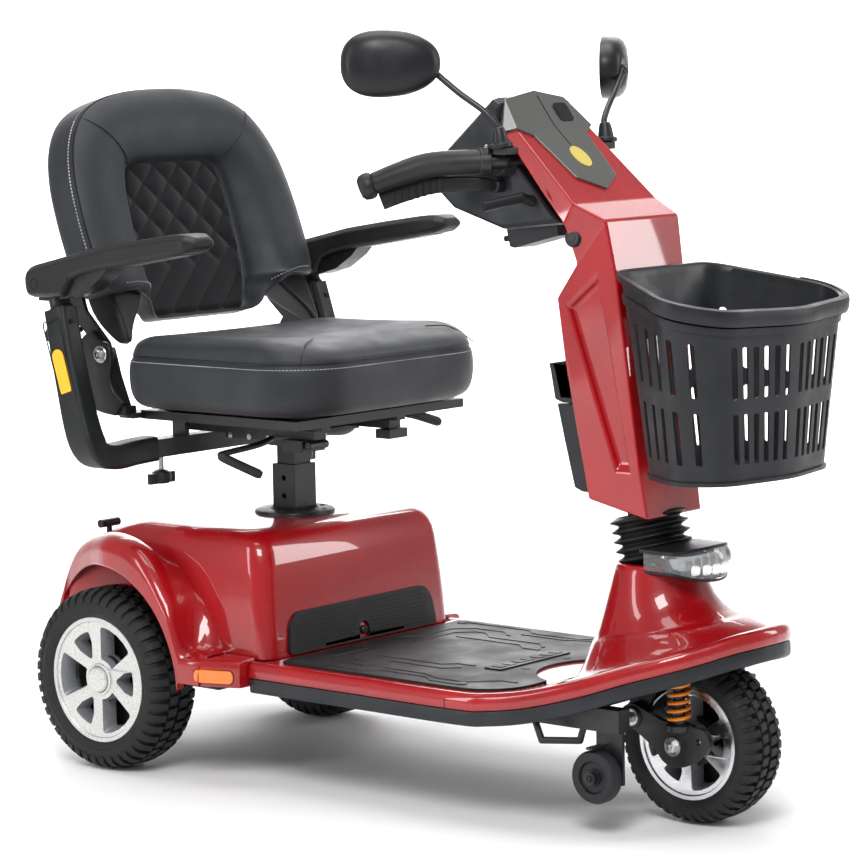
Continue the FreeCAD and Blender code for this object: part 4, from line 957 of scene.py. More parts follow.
def rear_body():
    """Painted cover over the batteries and motor: one central body with a fender on each side."""
    body = central_body()
    body.done("rear_cover", RED, "chassis", "red_paint", ["rear_shroud"], smooth=60)
    fenders().done("rear_fenders", RED, "chassis", "red_paint", smooth=60)
    sills = Shape()
    sills.loft([sill_section(y, x) for y, x in SILL]).mirror()
    sills.done("rear_sills", RED, "chassis", "red_paint", bevel=0.001, smooth=40)
    lamp = Shape()
    seat = Shape()
    for side in (-1, 1):
        lamp.loft([[on_sill(side, a, z + REFLECTOR_Z, lift) for a, z in rounded(0.0300, 0.0092, 0.0075, 6)]
                   for lift in (-0.001, 0.0034)])
        seat.loft([[on_sill(side, a, z + REFLECTOR_Z, lift) for a, z in rounded(0.0312, 0.0104, 0.0085, 6)]
                   for lift in (-0.002, 0.0008)])
    lamp.done("side_reflector_lenses", AMBER, "chassis", "amber", ["side_reflectors"], 0.0018, 3)
    seat.done("reflector_seats", BLACK, "chassis", "black_plastic", bevel=0.0006)
    collar = Shape()
    profile = [(-0.004, 0.058), (0.002, 0.058), (0.0045, 0.0565), (0.0055, 0.053), (0.0055, 0.036),
               (0.0075, 0.034),
               (0.0075, 0.0325), (-0.004, 0.0325)]
    collar.lathe((0, SEAT_POST_Y, 0.3535), (0, 0, 1), profile, 0, 64, closed=True)
    for turn in (200, 250, 290, 340):
        a = math.radians(turn)
        collar.lathe((0.045 * math.cos(a), SEAT_POST_Y + 0.045 * math.sin(a), 0.359), (0, 0, 1),
                     [(0, 0.0035), (0.0008, 0.0032), (0.0009, 0)], 1, 16)
    collar.done("post_collar", [SOFT_BLACK, BLACK], "chassis", "black_plastic")
    rear = Shape()
    for side in (-1, 1):
        for x, z, r in ((0.118, 0.262, 0.0185), (0.158, 0.262, 0.0185)):
            rear.lathe((side * x, 0.992, z - 0.040), (0, 1, 0), [(0, r + 0.003), (0.0065, r + 0.003),
                                                                 (0.0065, r), (0.0085, r * 0.9),
                                                         (0.0095, r * 0.5), (0.0097, 0)], 0, 36)
    rear.done("tail_lamp_lenses", RED_LAMP, "chassis")


def kick_panel():
    """Dotted rubber panel on the leaning front of the body, with a keyhole over a screw in black powder
    coat.
    """
    lean = (0.606 - 0.590) / (0.325 - 0.178)
    outer = [Vector(p) for p in ((-0.158, 0.180), (0.158, 0.180), (0.152, 0.222), (0.138, 0.238),
                                 (-0.138, 0.238),
                                 (-0.152, 0.222))]
    outline = [(p.x, p.y) for p in round_corners(outer, 0.010, 20)]
    hole = [(-0.011, 0.1815)] + arc((0, 0.194), 0.011, 180, 0, 12) + [(0.011, 0.1815)]
    hole = [(x, z + 0.001) for x, z in hole]

    def place(p):
        return Vector((p.x, 0.5895 + (p.y - 0.178) * lean - p.z, p.y))

    shape = Shape().plate([outline, hole], place, 0.0042)
    for row in range(9):
        for k in range(48):
            x = (k - 23.5) * 0.0061 + (0.003 if row % 2 else 0)
            z = 0.187 + row * 0.0056
            if abs(x) > 0.142 or (z > 0.226 and abs(x) > 0.132) or (abs(x) < 0.015 and z < 0.210):
                continue
            shape.lathe(place(Vector((x, z, 0.0040))), (0, -1, 0), [(0, 0.0016), (0.0007, 0.0012),
                                                                    (0.0009, 0)], 0, 6)
    shape.done("kick_panel_look", MAT, "chassis", "black_plastic", ["kick_panel"], 0.0008, 2, 40)
    screw = Shape()
    screw.lathe(place(Vector((0, 0.193, 0))), (0, -1, 0), [(0, 0.0062), (0.004, 0.0062), (0.0055, 0.005),
                                                           (0.0058, 0)], 0, 24)
    screw.done("kick_panel_screw", FRAME_BLACK, "chassis", "bolt_steel")


edge_bands()
deck_skin()
cone()
floor_mat()
rear_body()
kick_panel()


# ------------------------------------------------------------------ steering and suspension

RAKE = math.radians(13.7)
PIVOT = Vector((0, 0.077, 0.370))
STEER_AXIS = Vector((0, math.sin(RAKE), math.cos(RAKE)))
SPRING_X, SPRING_Y = 0.061, -0.008


def on_axis(z):
    return PIVOT + STEER_AXIS * ((z - PIVOT.z) / STEER_AXIS.z)


def bellows():
    """Rubber boot with five fat folds about the steering axis."""
    profile = [(0.0, 0.036), (0.0, 0.0425)]
    low, high, folds = 0.3405, 0.4025, 5
    length = (high - low) / STEER_AXIS.z
    for k in range(folds * 12 + 1):
        turn = 2 * math.pi * k / 12
        profile.append((length * k / (folds * 12), 0.0465 - 0.0052 * math.cos(turn)))
    profile += [(length, 0.036)]
    shape = Shape()
    shape.lathe(on_axis(low), STEER_AXIS, profile, 0, 64, closed=True)
    made = shape.done("bellows_look", BELLOWS, None, "soft_rubber", ["bellows"], smooth=70)
    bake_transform(made)


LAMP_HALF, LAMP_SWEEP, LAMP_DEPTH = 0.056, 0.030, 0.055


def swept(x):
    """How far the lamp's front is swept back at x."""
    return LAMP_SWEEP * (abs(x) / LAMP_HALF) ** 2.2


def headlight():
    """Wrap-around lamp: dark frame, grey bowl, a row of lights and a clear front with swept-back wings."""
    def ring(x):
        share = abs(x) / LAMP_HALF
        low = 0.3215 + 0.010 * share ** 2
        high = 0.3665 - 0.006 * share ** 2
        y = -0.034 + swept(x)
        mid = (low + high) / 2
        return [Vector((x, y + LAMP_DEPTH, high)), Vector((x, y + 0.006, high)),
                Vector((x, y - 0.001, lerp(high, low, 0.2))), Vector((x, y - 0.0035, mid)),
                Vector((x, y + 0.001, lerp(high, low, 0.85))), Vector((x, y + 0.006, low)),
                Vector((x, y + LAMP_DEPTH, low))]
    xs = [LAMP_HALF * k / 10 for k in range(-10, 11)]
    front = Shape().loft([ring(x) for x in xs])
    front.done("headlight_lens", LENS, "chassis", "lamp_clear", ["headlight"], 0.001, 2, 35)
    frame_top = Shape()
    for z0, z1, reach in ((0.3635, 0.3685, 0.0012), (0.3200, 0.3240, 0.0012)):
        rings = []
        for x in [0.058 * k / 10 for k in range(-10, 11)]:
            base = ring(x * 0.96)
            y = base[1].y if z0 > 0.34 else base[5].y
            drop = (-0.006 if z0 > 0.34 else 0.010) * (abs(x) / LAMP_HALF) ** 2
            rings.append([Vector((x, y - reach, z0 + drop)), Vector((x, y - reach * 0.4, z1 + drop)),
                          Vector((x, y + LAMP_DEPTH, z1 + drop)), Vector((x, y + LAMP_DEPTH, z0 + drop))])
        frame_top.loft(rings)
    frame_top.done("headlight_frame", BLACK, "chassis", "black_plastic", bevel=0.001)
    bowl = Shape()
    rings = []
    for x in [0.052 * k / 10 for k in range(-10, 11)]:
        back = swept(x)
        rings.append([Vector((x, -0.022 + back, 0.3595)), Vector((x, -0.010 + back, 0.352)),
                      Vector((x, -0.008 + back, 0.338)),
                      Vector((x, -0.017 + back, 0.328))])
    bowl.loft(rings, loop=False)
    bowl.done("headlight_bowl", DARK_CHROME, "chassis")
    cells = Shape()
    for k in range(5):
        x = -0.030 + 0.015 * k
        back = swept(x)
        ring_1 = [Vector((x + a, -0.018 + back, 0.3375 + b)) for a, b in rounded(0.0060, 0.0058, 0.0028, 4)]
        ring_2 = [Vector((x + a * 0.8, -0.024 + back, 0.3375 + b * 0.8)) for a, b in rounded(0.0060, 0.0058,
                                                                                             0.0028, 4)]
        cells.loft([ring_1, ring_2])
    cells.done("headlight_cells", LAMP, "chassis", "led_white", bevel=0.0008)


ARM_PIVOT = (0.064, 0.141)


def suspension():
    keep("steering_fork", FRAME_BLACK, 0.0012)
    keep("suspension_springs", SPRING, 0, 60)
    arms = Shape()
    outline = [Vector(p) for p in ((0.086, 0.134), (0.082, 0.152), (0.066, 0.160), (0.018, 0.142),
                                   (-0.012, 0.139),
                                   (-0.052, 0.137), (-0.060, 0.118), (-0.046, 0.096), (-0.012, 0.081),
                                   (0.014, 0.084),
                                   (0.030, 0.104), (0.058, 0.122))]
    loop = [(p.x, p.y) for p in round_corners(outline, 0.012, 15)]
    hole = arc((-0.040, 0.120), 0.0042, 0, 345, 23)
    for side in (-1, 1):
        arms.plate([loop, hole], lambda p, s=side: Vector((s * (0.0565 + p.z), p.x, p.y)), 0.0085)
        arms.rod((side * SPRING_X, SPRING_Y, 0.130), (side * SPRING_X, SPRING_Y, 0.1395), 0.017, 0, 32,
                 0.0015)
        arms.rod((side * 0.054, *ARM_PIVOT), (side * 0.068, *ARM_PIVOT), 0.0145, 0, 32, 0.0015)
        bolt(arms, (side * 0.068, *ARM_PIVOT), (side, 0, 0), 0.0075, 1)
        bolt(arms, (side * 0.065, *FRONT_AXLE), (side, 0, 0), 0.0085, 1)
    arms.rod((-0.066, *FRONT_AXLE), (0.066, *FRONT_AXLE), 0.006)
    arms.done("swing_arms_look", [FRAME_BLACK, STEEL], "swing_arm", "frame_paint", ["swing_arms"], 0.0012, 2,
              35)
    damper = Shape()
    for side in (-1, 1):
        damper.rod((side * SPRING_X, SPRING_Y, 0.138), (side * SPRING_X, SPRING_Y, 0.212), 0.0082, 0, 24,
                   0.001)
        damper.rod((side * SPRING_X, SPRING_Y, 0.203), (side * SPRING_X, SPRING_Y, 0.214), 0.0165, 0, 32,
                   0.0015)
    damper.done("damper_rods", FRAME_BLACK, "steering", "frame_paint")


ANTITIP_X, ANTITIP_Y, ANTITIP_Z = 0.155, 0.055, 0.079


def antitip():
    """Small rubber wheels beside the front wheel: a solid tread, a recessed black hub and a nut."""
    for word, side in SIDES:
        shape = Shape()
        origin = (side * ANTITIP_X, ANTITIP_Y, ANTITIP_Z)
        tread = [(-0.0108, 0.0225), (-0.0112, 0.029), (-0.0098, 0.0330), (-0.006, 0.0349), (0.006, 0.0349),
                 (0.0098, 0.0330), (0.0112, 0.029), (0.0108, 0.0225)]
        shape.lathe(origin, (1, 0, 0), tread, 0, 64, closed=True)
        hub = [(-0.0070, 0.0046), (-0.0070, 0.0195), (-0.0108, 0.0215), (-0.0108, 0.0230), (0.0108, 0.0230),
               (0.0108, 0.0215), (0.0070, 0.0195), (0.0070, 0.0046)]
        shape.lathe(origin, (1, 0, 0), hub, 1, 48, closed=True)
        shape.lathe(origin, (side, 0, 0), [(0.0068, 0.0115), (0.0100, 0.0110), (0.0104, 0.0046),
                                           (0.0068, 0.0046)], 1, 32,
                    closed=True)
        shape.done("antitip_look_" + word, [GREY_RUBBER, BLACK], "antitip_" + word, "soft_rubber",
                   ["antitip_wheel_" + word], 0.0006)
        nut = Shape()
        bolt(nut, (side * 0.1720, ANTITIP_Y, ANTITIP_Z), (side, 0, 0), 0.0050)
        nut.box(span(side, 0.136, 0.171), (0.050, 0.060), (0.1165, 0.1195))
        nut.done("antitip_nut_" + word, FRAME_BLACK, "chassis", "bolt_steel", bevel=0.0006)


# ------------------------------------------------------------------ tiller

F0, F1, F2 = (0.040, 0.401, 0.060), (0.050, 0.466, 0.063), (0.075, 0.718, 0.075)
KNEE, SHOULDER, LOWER = (0.087, 0.790, 0.080), (0.131, 0.811, 0.090), (0.147, 0.781, 0.090)
WIDEST, WAIST, REAR_KNEE = (0.171, 0.822, 0.100), (0.139, 0.732, 0.076), (0.172, 0.687, 0.076)
R6, R0 = (0.163, 0.600, 0.072), (0.132, 0.423, 0.066)
RIM_1, RIM_2, RIM_3, RIM_4 = (0.105, 0.717, 0.0765), (0.154, 0.677, 0.0765), (0.086, 0.462,
                                                                              0.0645), (0.066, 0.462, 0.0640)
H2, HIP, TOP_SIDE, TOP = (0.232, 0.905, 0.078), (0.247, 0.901, 0.090), (0.267, 0.944, 0.060), (0.268, 0.954,
                                                                                               0.0)
RECESS = 0.0085


def tiller_shell():
    """Faceted red cover, drawn from the corners of its facets."""
    shape = Shape()
    made = {}

    def v(side, corner, inward=0.0):
        y, z, x = corner
        key = (side, y, z, x, inward) if x else (0, y, z, 0, 0)
        if key not in made:
            made[key] = shape.bm.verts.new(Vector((side * (x - inward), y, z)))
        return made[key]

    facets = [(F0, F1, RIM_4, RIM_3, R0), (F1, F2, RIM_1, RIM_4), (F2, KNEE, WAIST, RIM_1),
              (RIM_1, WAIST, REAR_KNEE, RIM_2),
              (RIM_2, REAR_KNEE, R6, R0, RIM_3), (KNEE, SHOULDER, LOWER, WAIST), (SHOULDER, H2, HIP, WIDEST,
                                                                                  LOWER),
              (H2, TOP_SIDE, HIP)]
    inner = [(0.104, 0.708, 0.0765), (0.149, 0.672, 0.0765), (0.086, 0.472, 0.0650), (0.069, 0.472, 0.0645)]
    rims = [RIM_1, RIM_2, RIM_3, RIM_4]
    for side in (-1, 1):
        for facet in facets:
            shape.face([v(side, c) for c in facet])
        for k in range(4):
            n = (k + 1) % 4
            shape.face([v(side, rims[k]), v(side, rims[n]), v(side, inner[n], RECESS), v(side, inner[k],
                                                                                         RECESS)])
        shape.face([v(side, c, RECESS) for c in inner])
    for a, b in ((F0, F1), (F1, F2), (F2, KNEE), (KNEE, SHOULDER), (SHOULDER, H2), (H2, TOP_SIDE),
                 (R0, R6), (R6, REAR_KNEE), (REAR_KNEE, WAIST), (WAIST, LOWER), (LOWER, WIDEST),
                 (WIDEST, HIP),
                 (HIP, TOP_SIDE), (F0, R0)):
        shape.face([v(-1, a), v(1, a), v(1, b), v(-1, b)])
    shape.done("tiller_cover", RED, "tiller", "red_paint", ["tiller_shell"], 0.0042, 4, 11, 30)
    keep("tiller_column", FRAME_BLACK)


def on_dash(x, y, lift=0.0):
    """Point over the hood's top face: its two slopes meet at y 0.232."""
    (y0, z0), (y1, z1), (y2, z2) = SHOULDER[:2], H2[:2], TOP[:2]
    z = lerp(z0, z1, (y - y0) / (y1 - y0)) if y < y1 else lerp(z1, z2, (y - y1) / (y2 - y1))
    return Vector((x, y - lift * 0.68, z + lift * 0.73))


def display():
    """Gloss grey cap over the hood, down its top face to a blunt point, with an oval badge."""
    cap = Shape()
    lift = Vector((0, -0.0022, 0.0024))
    tip, corner, waist, shoulder = (on_dash(x, y) for x, y in ((0, 0.146), (0.043, 0.163), (0.057, 0.222),
                                                               (0.0785, 0.2325)))
    spine = [on_dash(0, 0.163), on_dash(0, 0.222), on_dash(0, 0.2325), Vector((0, TOP[0], TOP[1]))]
    side_top = Vector((TOP_SIDE[2] + 0.001, TOP_SIDE[0], TOP_SIDE[1]))
    hip = Vector((HIP[2] + 0.0015, HIP[0], HIP[1]))
    facets = [[tip, corner, spine[0]], [spine[0], corner, waist, spine[1]], [spine[1], waist, shoulder,
                                                                             spine[2]],
              [spine[2], shoulder, side_top, spine[3]], [shoulder, hip, side_top]]
    made = {}
    for side in (-1, 1):
        for facet in facets:
            corners = []
            for q in facet:
                key = (round(side * q.x, 5), round(q.y, 5), round(q.z, 5))
                if key not in made:
                    out = lift + (Vector((0.0022 * side, 0, 0)) if q in (hip, side_top, shoulder)
                                  else Vector((0, 0, 0)))
                    made[key] = cap.bm.verts.new(Vector((side * q.x, q.y, q.z)) + out)
                corners.append(made[key])
            cap.face(corners)
    rim_verts = [v for v in cap.bm.verts if any(len(e.link_faces) == 1 for e in v.link_edges)]
    lower = {v: cap.bm.verts.new(v.co - lift * 2.6 - Vector((0.002 * (1 if v.co.x > 0 else -1), 0, 0)))
             for v in rim_verts}
    for e in [e for e in cap.bm.edges if len(e.link_faces) == 1 and e.verts[0] in lower
              and e.verts[1] in lower]:
        a, b = e.verts
        cap.face([a, b, lower[b], lower[a]])
    cap.done("display_cap", SCREEN, "tiller", "screen_grey", ["display_cover"], 0.0014, 3, 8, 30)
    details = Shape()
    slot_line = [(x + 0.036, y + 0.246) for x, y in rounded(0.014, 0.0085, 0.004, 4)]
    details.plate([slot_line], lambda p: on_dash(p.x, p.y, 0.0030 + p.z), 0.0008, 0)
    line = [(-0.0008, 0.2), (0.0008, 0.2), (0.0008, 0.262), (-0.0008, 0.262)]
    details.plate([line], lambda p: on_dash(p.x, p.y, 0.0030 + p.z), 0.0006, 0, cuts_y=[0.2325])
    details.done("display_slot", BLACK, "tiller", "black_plastic")
    badge = Shape()
    oval = [(0.0150 * math.cos(t), 0.1900 + 0.0140 * math.sin(t)) for t in [2 * math.pi * k / 40
                                                                            for k in range(40)]]
    badge.plate([oval], lambda p: on_dash(p.x, p.y, 0.0028 + p.z), 0.0016)
    badge.done("display_badge", BADGE, "tiller", "badge_yellow", bevel=0.0006)


def rear_pocket():
    """Grey pocket on the back of the tiller: a deep lower cup under a wider upper tray."""
    shape = Shape()
    for half, rows in ((0.0485, [((0.1365, 0.1600), 0.4290), ((0.1370, 0.1720), 0.4340), ((0.1450, 0.1890),
                                                                                          0.500),
                                         ((0.1500, 0.1985), 0.5400), ((0.1515, 0.1990), 0.5440)]),
                       (0.0510, [((0.1490, 0.1920), 0.5465), ((0.1520, 0.2010), 0.5500), ((0.1600, 0.2080),
                                                                                          0.5880),
                                         ((0.1620, 0.2105), 0.5960), ((0.1640, 0.2085), 0.5975),
                                 ((0.1650, 0.2050), 0.5900),
                                         ((0.1600, 0.1960), 0.5520)])):
        rings = []
        for (y0, y1), z in rows:
            mid = (y0 + y1) / 2
            rings.append([Vector((x, y + mid, z)) for x, y in rounded(half, (y1 - y0) / 2, 0.009, 5)])
        shape.loft(rings)
    shape.box((-0.018, 0.018), (0.193, 0.2005), (0.5340, 0.5475))
    shape.done("rear_pocket_look", TRIM, "tiller", "grey_trim", ["rear_pocket"], 0.0009, 2, 40, 50)
    cap = Shape()
    for side in (-1, 1):
        cap.lathe((side * 0.074, 0.1385, 0.7655), (side, 0, 0.12), [(0, 0.0125), (0.010, 0.0125),
                                                                    (0.0122, 0.0108),
                                                                      (0.0125, 0.0)], 0, 36)
        cap.lathe((side * 0.0860, 0.1385, 0.7667), (side, 0, 0.12), [(0, 0.0075), (0.0012, 0.0070),
                                                                     (0.0012, 0.0)], 0, 6)
    cap.done("tiller_caps", TRIM, "tiller", "grey_trim", bevel=0.0006)


def console():
    """Grey handlebar housing with rounded facets, a port box and a peg under it."""
    outline = [(0.160, 0.7830), (0.259, 0.7730), (0.345, 0.8000), (0.3925, 0.8400), (0.3720, 0.8660),
               (0.2745, 0.9480),
               (0.2640, 0.9420), (0.2620, 0.8880)]
    shape = Shape()
    rings = []
    for x, grow in ((-0.0800, 0.90), (-0.0760, 0.97), (-0.0620, 1.0), (0.0620, 1.0), (0.0760, 0.97),
                    (0.0800, 0.90)):
        cy, cz = 0.290, 0.852
        rings.append([Vector((x, cy + (y - cy) * grow, cz + (z - cz) * grow)) for y, z in outline])
    shape.loft(rings)
    shape.prism_x([(0.200, 0.7860), (0.290, 0.7860), (0.2820, 0.7490), (0.2740, 0.7470), (0.200, 0.7650)],
                  -0.036, 0.012)
    shape.rod((-0.028, 0.2820, 0.7600), (-0.028, 0.2960, 0.7585), 0.0042, 1, 20, 0.0010)
    for side in (-1, 1):
        shape.lathe((side * 0.0750, 0.250, 0.8640), (side, 0.35, 0), [(0, 0.0215), (0.016, 0.0205),
                                                                      (0.020, 0.0185),
                                                                      (0.0205, 0.012)], 0, 36)
    shape.done("console_look", [TRIM, BLACK], "tiller", "grey_trim", ["console"], 0.0034, 3, 18, 40)
    marks = Shape()
    down = Vector((0, 0.372 - 0.2745, 0.866 - 0.948)).normalized()
    out = Vector((0, 0.64, 0.768))
    for k in range(9):
        turn = math.radians(-130 + 260 * k / 8)
        place = Vector((0, 0.2745, 0.948)) + down * 0.078
        side_way = Vector((1, 0, 0)) * math.sin(turn) - down * math.cos(turn)
        marks.rod(place + side_way * 0.0195, place + side_way * 0.0225, 0.0006 + 0.00012 * k, 0, 8)
    for x, along in ((-0.024, 0.034), (0.0, 0.034), (0.024, 0.034), (0.048, 0.050), (-0.048, 0.050)):
        place = Vector((x, 0.2745, 0.948)) + down * along
        ring = [place + Vector((a, 0, 0)) + down * b for a, b in rounded(0.0085, 0.006, 0.003, 4)]
        marks.prism([p - out * 0.001 for p in ring], out * 0.0026)
    marks.done("console_marks", GRIP, "tiller", "black_plastic", bevel=0.0004)
    for node in ("speed_dial", "horn_button", "ignition_key", "tilt_lever"):
        keep(node, BLACK if node != "ignition_key" else STEEL, 0.0008)


BAR = [(0.096, 0.240, 0.866), (0.118, 0.262, 0.866), (0.150, 0.318, 0.862), (0.175, 0.351, 0.851),
       (0.197, 0.380, 0.838)]


def handlebars():
    """Bars with clamps, rubber grips with dotted rings and grooved ends, and a paddle under each."""
    keep("handlebar", FRAME_BLACK, 0)
    grips = Shape()
    clamps = Shape()
    dots = Shape()
    for side in (-1, 1):
        line = smooth_path([(side * x, y, z) for x, y, z in BAR], 10)
        grip = line[8:]

        def girth(t):
            swell = 0.0166 + 0.0022 * math.sin(math.pi * min(t * 1.1, 1.0))
            return swell if t < 0.97 else swell * 0.9
        oval = [(math.cos(2 * math.pi * j / 28), 0.90 * math.sin(2 * math.pi * j / 28)) for j in range(28)]
        grips.tube(grip, girth, 0, section=oval, up=(0, 0, 1))
        tip, ahead = grip[-1], (grip[-1] - grip[-3]).normalized()
        end = [(0.0, 0.0160), (0.004, 0.0182), (0.010, 0.0182), (0.016, 0.0166), (0.0195, 0.0120),
               (0.0205, 0.004), (0.0206, 0)]
        grips.lathe(tip, ahead, end, 0, 28)
        for k in range(4):
            place = line[10 + k * 2]
            way = (line[11 + k * 2] - line[9 + k * 2]).normalized()
            a = way.orthogonal().normalized()
            b = way.cross(a)
            for j in range(14):
                turn = 2 * math.pi * (j + 0.5 * (k % 2)) / 14
                out = a * math.cos(turn) + b * math.sin(turn)
                dots.lathe(place + out * 0.0152, out, [(0, 0.0017), (0.0010, 0.0012), (0.0012, 0)], 0, 8)
        for k in range(5):
            place = line[24] + (line[30] - line[24]) * (k / 6)
            way = (line[31] - line[23]).normalized()
            grips.lathe(place, way, [(-0.0006, 0.0160), (0, 0.0173), (0.0012, 0.0173), (0.0018, 0.0160)], 0,
                        28, closed=True)
        joint = Vector((side * 0.1150, 0.2580, 0.8655))
        way = (line[8] - line[4]).normalized()
        clamps.lathe(joint - way * 0.008, way, [(0, 0.0172), (0.001, 0.0182), (0.014, 0.0182),
                                                (0.015, 0.0172)], 0, 36)
        bolt(clamps, joint + Vector((0, -0.004, 0.0175)), (0, 0, 1), 0.0036, 1)
        clamps.box((side * 0.116 - 0.008, side * 0.116 + 0.008), (0.244, 0.262), (0.876, 0.8835))
    grips.done("grips_look", GRIP, "tiller", "soft_rubber", ["grips"], smooth=50)
    dots.done("grip_dots", GRIP, "tiller")
    clamps.done("bar_clamps", [FRAME_BLACK, STEEL], "tiller", "frame_paint", bevel=0.0008)
    for word, side in SIDES:
        paddle = Shape()
        line = smooth_path([(side * 0.090, 0.258, 0.832), (side * 0.112, 0.270, 0.8360), (side * 0.142,
                                                                                          0.320, 0.8350),
                            (side * 0.166, 0.354, 0.8245), (side * 0.184, 0.378, 0.8140)], 6)
        flat = [(a * 0.50, b * 0.95) for a, b in rounded(1.0, 1.0, 0.45, 4)]
        paddle.tube(line, lambda t: lerp(0.0070, 0.0118, min(t * 2, 1)), 0, section=flat, up=(0, 0, 1))
        for k in range(8):
            place = line[11] + (line[22] - line[11]) * (k / 8)
            paddle.tube([place - Vector((0, 0, 0.0085)), place + Vector((0, 0, 0.0085))], 0.0066, 0, 10)
        paddle.rod((side * 0.0805, 0.258, 0.832), (side * 0.096, 0.258, 0.832), 0.0085, 0, 24, 0.001)
        paddle.done("throttle_look_" + word, BLACK, "throttle_" + word, "black_plastic",
                    ["throttle_" + word], 0.0014, 3)


def mirrors():
    """Stalk mirrors, each with its ball joint in a notch at the low inner corner of an egg-shaped shell."""
    poses = {"right": ((-0.150, 0.314, 0.9845), (-0.76, -0.65), (-0.200, 0.344, 0.995)),
             "left": ((0.1975, 0.2665, 0.9765), (0.55, -0.835), (0.2275, 0.3027, 0.9830))}
    stems = Shape()
    for word, side in SIDES:
        end = Vector(poses[word][0])
        foot = Vector((side * 0.1145, 0.2335, 0.900))
        stems.lathe((side * 0.113, 0.231, 0.8830), (side * 0.06, 0.12, 1), [(0, 0.0150), (0.003, 0.0155),
                                                                            (0.006, 0.0150),
                    (0.007, 0.0110), (0.011, 0.0105), (0.020, 0.0090), (0.026, 0.0075), (0.0275, 0.0055)], 1,
                    32)
        rise = foot + Vector((0, 0.002, 0.012))
        line = smooth_path([foot, rise, rise.lerp(end, 0.22) + Vector((0, 0, 0.004)), rise.lerp(end, 0.6),
                            end], 6)
        stems.tube(line, 0.0044, 0, 16)
        stems.ball(end, 0.0072)
        stems.box(span(side, 0.0925, 0.118), (0.219, 0.245), (0.874, 0.8835), 1)
    stems.done("mirror_stems_look", [FRAME_BLACK, SOFT_BLACK], "tiller", "frame_paint", ["mirror_stems"],
               0.0010)
    for word, side in SIDES:
        end, facing, middle = poses[word]
        end, centre = Vector(end), Vector(middle)
        out = Vector((*facing, 0)).normalized()
        across = Vector((out.y, -out.x, 0)) * side
        up = Vector((0, 0, 1))
        outline = []
        for k in range(72):
            t = 2 * math.pi * k / 72
            c, s = math.cos(t), math.sin(t)
            wide = 0.0655 * math.copysign(abs(c) ** 0.84, c)
            tall = 0.0435 * math.copysign(abs(s) ** 0.84, s) * (1.0 - 0.13 * c)
            outline.append((wide, tall))
        shell = Shape()
        profile = [(-0.0150, 0.955), (-0.0165, 0.99), (-0.0150, 1.0), (-0.008, 1.0), (-0.001, 0.985),
                   (0.0070, 0.93),
                   (0.0130, 0.82), (0.0168, 0.64), (0.0188, 0.40), (0.0195, 0.16), (0.0196, 0.03)]
        rings = [[centre + out * d + across * (a * g) + up * (b * g) for a, b in outline] for d,
                 g in profile]
        shell.loft(rings, 0, caps=(False, True))
        notch = end.lerp(centre, 0.22)
        for v in shell.bm.verts:
            gap = v.co - notch
            near = gap.length
            if near < 0.021 and gap.dot(out) > -0.012:
                v.co -= out * 0.010 * (1 - near / 0.021)
        shell.tube(smooth_path([end, end.lerp(centre, 0.14), end.lerp(centre, 0.28)], 4),
                   lambda t: lerp(0.0088, 0.0100, t), 0, 18)
        shell.done("mirror_shell_" + word, BLACK, "mirror_" + word, "black_plastic", ["mirror_head_" + word],
                   smooth=60)
        glass = Shape()
        glass.loft([[centre + out * d + across * (a * g) + up * (b * g) for a, b in outline]
                    for d, g in ((-0.0130, 0.95), (-0.0150, 0.95), (-0.0154, 0.93), (-0.0156, 0.5), (-0.0157,
                                                                                                     0.02))],
                   caps=(True, True))
        glass.done("mirror_glass_" + word, MIRROR, "mirror_" + word, "mirror_glass", smooth=60)


# ------------------------------------------------------------------ basket

BASKET_LOW, BASKET_HIGH = 0.463, 0.726
BACK_Y, FRONT_Y = (0.020, 0.055), (-0.144, -0.1560)
BACK_HALF, FRONT_HALF = (0.092, 0.102), (0.146, 0.178)
CORNER = 0.046


def basket_plan(t, inset=0.0):
    """Closed plan of the basket at share t of its height, with its corners rounded."""
    yb, yf = lerp(*BACK_Y, t) - inset, lerp(*FRONT_Y, t) + inset
    hb, hf = lerp(*BACK_HALF, t) - inset, lerp(*FRONT_HALF, t) - inset
    half = [(0, yb), (hb, yb), (hf, yf + 0.075), (hf * 0.80, yf + 0.022), (0, yf)]
    corners = [Vector(p) for p in half + [(-x, y) for x, y in reversed(half[1:-1])]]
    radii = {1: 0.026, 2: CORNER, 3: CORNER, 4: 0.030, 5: CORNER, 6: CORNER, 7: 0.026}
    loop = []
    for k, p in enumerate(corners):
        if k not in radii:
            loop.append(p)
            continue
        before, after = corners[k - 1] - p, corners[(k + 1) % len(corners)] - p
        reach = min(radii[k], before.length * 0.46, after.length * 0.46)
        a, b = p + before.normalized() * reach, p + after.normalized() * reach
        loop += [a.lerp(p, s).lerp(p.lerp(b, s), s) for s in [j / 8 for j in range(9)]]
    return loop


def along_loop(loop, share):
    """Point at a share of the way round a closed 2-D loop."""
    lengths = [(loop[(k + 1) % len(loop)] - p).length for k, p in enumerate(loop)]
    place = (share % 1.0) * sum(lengths)
    for k, length in enumerate(lengths):
        if place <= length:
            return loop[k].lerp(loop[(k + 1) % len(loop)], place / length)
        place -= length
    return loop[0].copy()


def rim_z(y, t):
    """Height of a point at share t of the basket's height; the rim slopes down to the front."""
    top = lerp(BASKET_HIGH, 0.680, (BACK_Y[1] - y) / (BACK_Y[1] - FRONT_Y[1]))
    return lerp(BASKET_LOW, top, t)


BASKET_STEPS = 240
PLANS = [[along_loop(basket_plan(t), k / BASKET_STEPS) for k in range(BASKET_STEPS)] for t in (0.0, 1.0)]


